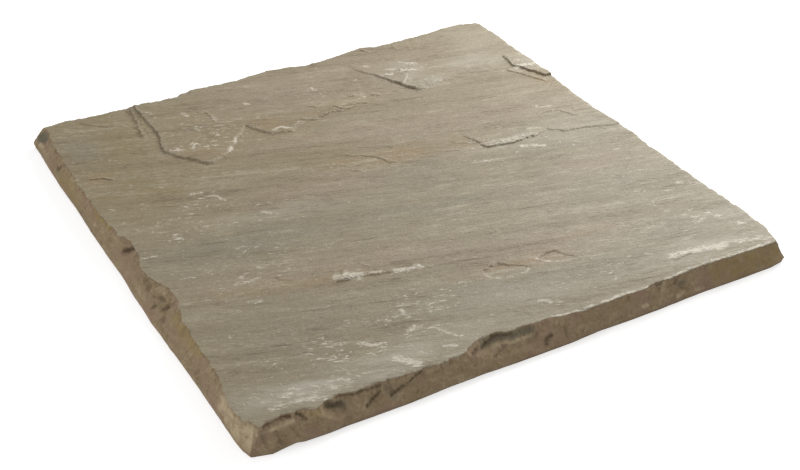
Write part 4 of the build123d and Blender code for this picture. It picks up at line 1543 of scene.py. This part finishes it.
@dataclass(frozen=True)
class Sandstone:
    """A finish of the sandstone. The colours are as they look on a screen, and heights are millimetres."""

    name: str
    dark: Tint
    middle: Tint
    light: Tint
    relief_height: float
    pit_height: float
    roughness: float
    pattern: Effect = Effect.CHIPS
    tints: tuple[tuple[Tone, Tint], ...] = ()
    # The cuts and cracks are darkened towards this colour as painted shade.
    cut_shade: Tint = (84, 70, 50)
    cut_shade_share: float = 0.55
    dark_span: Span = (0.50, 0.36)
    light_span: Span = (0.50, 0.64)
    speckle_spans: tuple[Span, Span] = ((0.28, 0.72), (0.90, 1.10))
    gloss_span: Span = (0.3, 0.7)
    gloss_spread: float = 0.06
    specular: float = 0.4

    def weathered_and_shaded(self, bench: NodeBench, place: Socket, colour: Socket) -> Socket:
        """Lays the marks of age and handling, and the painted shade and light of the finish, over the colour.
        The plain finish has none.
        """
        return colour

    def bump(self, bench: NodeBench, height: Socket, distance: float, **feeds: Socket) -> Socket:
        """Adds a Bump node and gives its normal."""
        feeds = {"Strength": 1.0, "Distance": distance * MM, "Height": height, **feeds}
        return bench.add("Bump", feeds).outputs[0]

    def build(self) -> bpy.types.Material:
        """Builds the material.

        Returns:
            The material.
        """
        material = bpy.data.materials.new(self.name)
        material.use_nodes = True
        bench = NodeBench(material.node_tree)
        place = bench.add("TexCoord").outputs["Object"]
        pattern = bench.effect(self.pattern, Vector=place)
        grain = bench.effect(Effect.GRAIN, Vector=place)
        tone = pattern["Tone"]
        colour = linear_tint(*self.middle)
        for patch, tint in self.tints:
            colour = bench.mixed(bench.attribute(patch), colour, linear_tint(*tint))
        colour = bench.mixed(bench.ranged(tone, self.dark_span), colour, linear_tint(*self.dark))
        colour = bench.mixed(bench.ranged(tone, self.light_span), colour, linear_tint(*self.light))
        # Painted shade in the cuts and cracks.
        colour = bench.laid(colour, pattern["Cuts"], self.cut_shade_share, self.cut_shade)
        speckle = bench.ranged(grain["Speckle"], *self.speckle_spans)
        grey = bench.add("CombineColor", {0: speckle, 1: speckle, 2: speckle})
        colour = self.weathered_and_shaded(bench, place, bench.mixed(1.0, colour, grey.outputs[0], "MULTIPLY"))
        ridges = self.bump(bench, pattern["Ridges"], self.relief_height)
        rough, smooth = self.roughness + self.gloss_spread, self.roughness - self.gloss_spread
        shader = bench.add("BsdfPrincipled", {
            "Specular IOR Level": self.specular,
            "Base Color": colour,
            "Roughness": bench.ranged(tone, self.gloss_span, (rough, smooth)),
            "Normal": self.bump(bench, grain["Pits"], self.pit_height, Normal=ridges),
        })
        bench.add("OutputMaterial", {"Surface": shader.outputs[0]})
        return material


@dataclass(frozen=True)
class CleftSandstone(Sandstone):
    """The finish of the riven face, with its soft tones, broken edges and pale flecks, and painted shade,
    shadow and sheen.
    """

    pattern: Effect = Effect.STREAKS
    tints: tuple[tuple[Tone, Tint], ...] = (
        # Olive, laid mostly over the left half, partly paints shade there.
        (Tone.OLIVE, (136, 120, 84)),
        (Tone.MAUVE, (156, 138, 120)),
        (Tone.SLATE, (137, 130, 113)),
        (Tone.RUST, (148, 124, 90)),
    )
    # The pale haze, partly painted sheen.
    haze_and_sheen: Tint = (192, 186, 173)
    haze_and_sheen_share: float = 0.75
    # The foot colour paints the shadow at the foot of broken edges and the shade in hollows.
    foot: Tint = (98, 80, 54)
    hollow_shade_share: float = 0.35
    foot_share: float = 0.80
    lip: Tint = (190, 180, 160)
    crest_share: float = 0.30
    lip_share: float = 0.45
    fleck: Tint = (214, 206, 190)
    fleck_share: float = 0.88

    def weathered_and_shaded(self, bench: NodeBench, place: Socket, colour: Socket) -> Socket:
        """Lays the haze with its painted sheen, the painted shadow at the broken edges and in the hollows,
        the pale lips and crests, and the flecks over the colour.

        Args:
            bench: The material's bench.
            place: The vector that the effects read.
            colour: The stone's colour.

        Returns:
            The marked colour.
        """
        gap, mark, density, scuffs, hollow, crest = (
            bench.attribute(mask)
            for mask in (Mask.STEP_GAP, Mask.STEP_MARK, Tone.FLECKS, Mask.CHALK, Mask.HOLLOW_SHADE, Mask.CREST)
        )
        steps = bench.effect(Effect.STEPS, Vector=place, Gap=gap, Mark=mark)
        flecks = bench.effect(Effect.FLECKS, Vector=place, Density=density, Scuffs=scuffs)
        foot, lip = bench.times(steps["Foot shadow"], self.foot_share), bench.times(steps["Lip"], self.lip_share)
        # Painted shadow at the feet of broken edges and painted shade in the hollows.
        dark = bench.maths("MAXIMUM", bench.times(hollow, self.hollow_shade_share), foot)
        pale = bench.maths("MAXIMUM", bench.times(crest, self.crest_share), lip)
        # Pale haze, partly painted sheen.
        colour = bench.laid(colour, bench.attribute(Tone.HAZE_AND_SHEEN), self.haze_and_sheen_share, self.haze_and_sheen)
        colour = bench.laid(colour, dark, 1.0, self.foot)
        colour = bench.laid(colour, pale, 1.0, self.lip)
        return bench.laid(colour, flecks["Mask"], self.fleck_share, self.fleck)


@dataclass(frozen=True)
class DressedSandstone(Sandstone):
    """The finish of the chiselled sides, with their cracks and stains, painted shade in pockets and under the
    arris, and painted highlights on ledges.
    """

    mauve: Tint = (150, 124, 103)
    olive: Tint = (150, 130, 84)
    # Painted shade in pockets under the arris.
    grey: Tint = (104, 98, 80)
    # Pale stone, and painted highlights on ledges.
    pale: Tint = (206, 188, 154)
    # Painted shade in the pockets.
    pocket_shade: Tint = (104, 86, 58)
    crest: Tint = (176, 159, 126)
    # Cracks, and painted shadow under the arris.
    crack_and_shade: Tint = (78, 61, 40)
    patches: Weave = Weave(130.0)
    mauve_zones: Weave = Weave(38.0)
    crack_breaks: Weave = Weave(300.0)
    patch_spans: tuple[Span, Span] = ((0.36, 0.60), (0.25, 1.0))
    mauve_spans: tuple[Span, Span] = ((0.44, 0.62), (0.1, 0.75))
    crack_spans: tuple[Span, Span] = ((0.34, 0.54), (0.55, 1.0))
    # How much the pockets are darkened as painted shade.
    pocket_shade_share: float = 0.40
    crest_share: float = 0.30

    def weathered_and_shaded(self, bench: NodeBench, place: Socket, colour: Socket) -> Socket:
        """Lays the stains, the painted shade of the pockets and under the arris, the painted highlights on
        ledges, the crests and the cracks over the colour.

        Args:
            bench: The material's bench.
            place: The vector that the effects read.
            colour: The stone's colour.

        Returns:
            The marked colour.
        """
        patchy = bench.ranged(bench.noise(place, self.patches), *self.patch_spans)
        mauve = bench.ranged(bench.noise(place, self.mauve_zones), *self.mauve_spans)
        ragged = bench.ranged(bench.noise(place, self.crack_breaks), *self.crack_spans)
        colour = bench.laid(colour, mauve, 1.0, self.mauve)
        # The grey and pocket marks are painted shade, the crack marks partly painted shadow and the pale
        # marks partly painted highlight.
        for mask, share, tint in (
            (SideTone.OLIVE, patchy, self.olive),
            (SideTone.GREY_SHADE, 1.0, self.grey),
            (SideTone.PALE_AND_HIGHLIGHT, patchy, self.pale),
            (Mask.HOLLOW_SHADE, self.pocket_shade_share, self.pocket_shade),
            (Mask.CREST, self.crest_share, self.crest),
            (SideTone.CRACK_AND_SHADE, ragged, self.crack_and_shade),
        ):
            colour = bench.laid(colour, bench.attribute(mask), share, tint)
        return colour


@dataclass(frozen=True)
class Quarry:
    """The stone's three finishes."""

    cleft: Sandstone = CleftSandstone(
        "cleft sandstone", (118, 105, 83), (144, 133, 110), (167, 157, 135),
        relief_height=0.75, pit_height=0.28, roughness=0.62,
    )
    dressed: Sandstone = DressedSandstone(
        "dressed sandstone", (122, 103, 73), (150, 131, 101), (172, 154, 122),
        relief_height=0.70, pit_height=0.30, roughness=0.80,
    )
    bed: Sandstone = Sandstone(
        "bed sandstone", (110, 97, 77), (140, 127, 104), (163, 151, 128),
        relief_height=0.60, pit_height=0.45, roughness=0.78,
    )

    def finishes(self) -> dict[Region, bpy.types.Material]:
        """Builds the material of each region."""
        stones = {Region.CLEFT_FACE: self.cleft, Region.DRESSED_SIDE: self.dressed, Region.BED: self.bed}
        return {region: stone.build() for region, stone in stones.items()}


@dataclass(frozen=True)
class SoftLight:
    """A soft box of the studio."""

    name: str
    place: Space
    size: float
    power: float
    tint: Tint


@dataclass
class Studio:
    """The floor, the lights and the camera."""

    floor_half: float = 6.0
    lens: float = 61.0
    film_width: float = 36.0
    nearest_seen: float = 0.05
    camera_place: Space = (-0.5950, -1.0846, 0.8065)
    yaw: float = 29.386
    pitch: float = 34.508
    roll: float = 0.250
    ambient: float = 0.45
    floor_tone: float = 0.70
    floor_glow: float = 0.62
    white: Tint = (1.0, 1.0, 1.0)
    lights: tuple[SoftLight, ...] = (
        SoftLight("key", (1.25, 0.60, 0.80), 1.0, 29.0, (1.0, 0.99, 0.97)),
        SoftLight("fill", (-1.6, -0.2, 0.6), 1.2, 7.0, (0.98, 0.99, 1.0)),
    )

    def build_floor(self) -> None:
        """Lays the white floor, which keeps the slab's soft shadow."""
        bpy.ops.object.select_all(action="DESELECT")
        bpy.ops.mesh.primitive_plane_add(size=2 * self.floor_half, location=(0, 0, 0))
        floor = bpy.context.object
        floor.name = "studio_floor"
        material = bpy.data.materials.new("studio white")
        material.use_nodes = True
        bench = NodeBench(material.node_tree)
        matt = bench.add("BsdfDiffuse", {"Color": (self.floor_tone, self.floor_tone, self.floor_tone)})
        glow = bench.add("Emission", {"Color": self.white, "Strength": self.floor_glow})
        rays = bench.add("LightPath").outputs
        seen = bench.maths("MAXIMUM", rays["Is Camera Ray"], rays["Is Glossy Ray"])
        seen = bench.maths("MAXIMUM", seen, rays["Is Transmission Ray"])
        both = bench.add("AddShader", {0: matt.outputs[0], 1: glow.outputs[0]})
        choice = bench.add("MixShader", {0: seen, 1: matt.outputs[0], 2: both.outputs[0]})
        bench.add("OutputMaterial", {"Surface": choice.outputs[0]})
        floor.data.materials.append(material)

    def build_world(self) -> None:
        """Sets the even light of the room, and the white that the camera sees behind the floor."""
        world = bpy.data.worlds.new("studio room")
        bpy.context.scene.world = world
        world.use_nodes = True
        bench = NodeBench(world.node_tree)
        seen = bench.add("LightPath").outputs["Is Camera Ray"]
        room, white = (
            bench.add("Background", {"Color": self.white, "Strength": strength}).outputs[0]
            for strength in (self.ambient, 1.0)
        )
        choice = bench.add("MixShader", {0: seen, 1: room, 2: white})
        bench.add("OutputWorld", {"Surface": choice.outputs[0]})

    def build_lights(self) -> None:
        """Hangs the soft boxes, each turned to the slab's middle."""
        for light in self.lights:
            lamp = bpy.data.lights.new(light.name, "AREA")
            lamp.shape = "SQUARE"
            lamp.size = light.size
            lamp.energy = light.power
            lamp.color = light.tint
            holder = bpy.data.objects.new(light.name, lamp)
            holder.location = light.place
            holder.rotation_euler = (-Vector(light.place)).to_track_quat("-Z", "Y").to_euler()
            bpy.context.collection.objects.link(holder)

    def build_camera(self) -> None:
        """Stands the camera where the photograph was taken from."""
        lens = bpy.data.cameras.new("camera")
        lens.sensor_width = self.film_width
        lens.lens = self.lens
        lens.clip_start = self.nearest_seen
        camera = bpy.data.objects.new("camera", lens)
        turn = Matrix.Rotation(math.radians(-self.yaw), 4, "Z")
        tilt = Matrix.Rotation(math.radians(90.0 - self.pitch), 4, "X")
        level = Matrix.Rotation(math.radians(self.roll), 4, "Z")
        camera.matrix_world = Matrix.Translation(self.camera_place) @ turn @ tilt @ level
        bpy.context.collection.objects.link(camera)
        bpy.context.scene.camera = camera

    def build(self) -> None:
        """Builds the whole studio."""
        self.build_floor()
        self.build_world()
        self.build_lights()
        self.build_camera()
        bpy.context.scene.view_settings.view_transform = "Standard"


def main() -> None:
    """Builds the slab and the studio."""
    logging.basicConfig(level=logging.INFO, format="%(name)s: %(message)s")
    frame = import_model()
    StoneEffects().build()
    slab = RivenSlab().build(frame, Quarry().finishes())
    log.info("built %s", slab.name)
    Studio().build()
    log.info("built the studio")


if __name__ == "__main__":
    main()
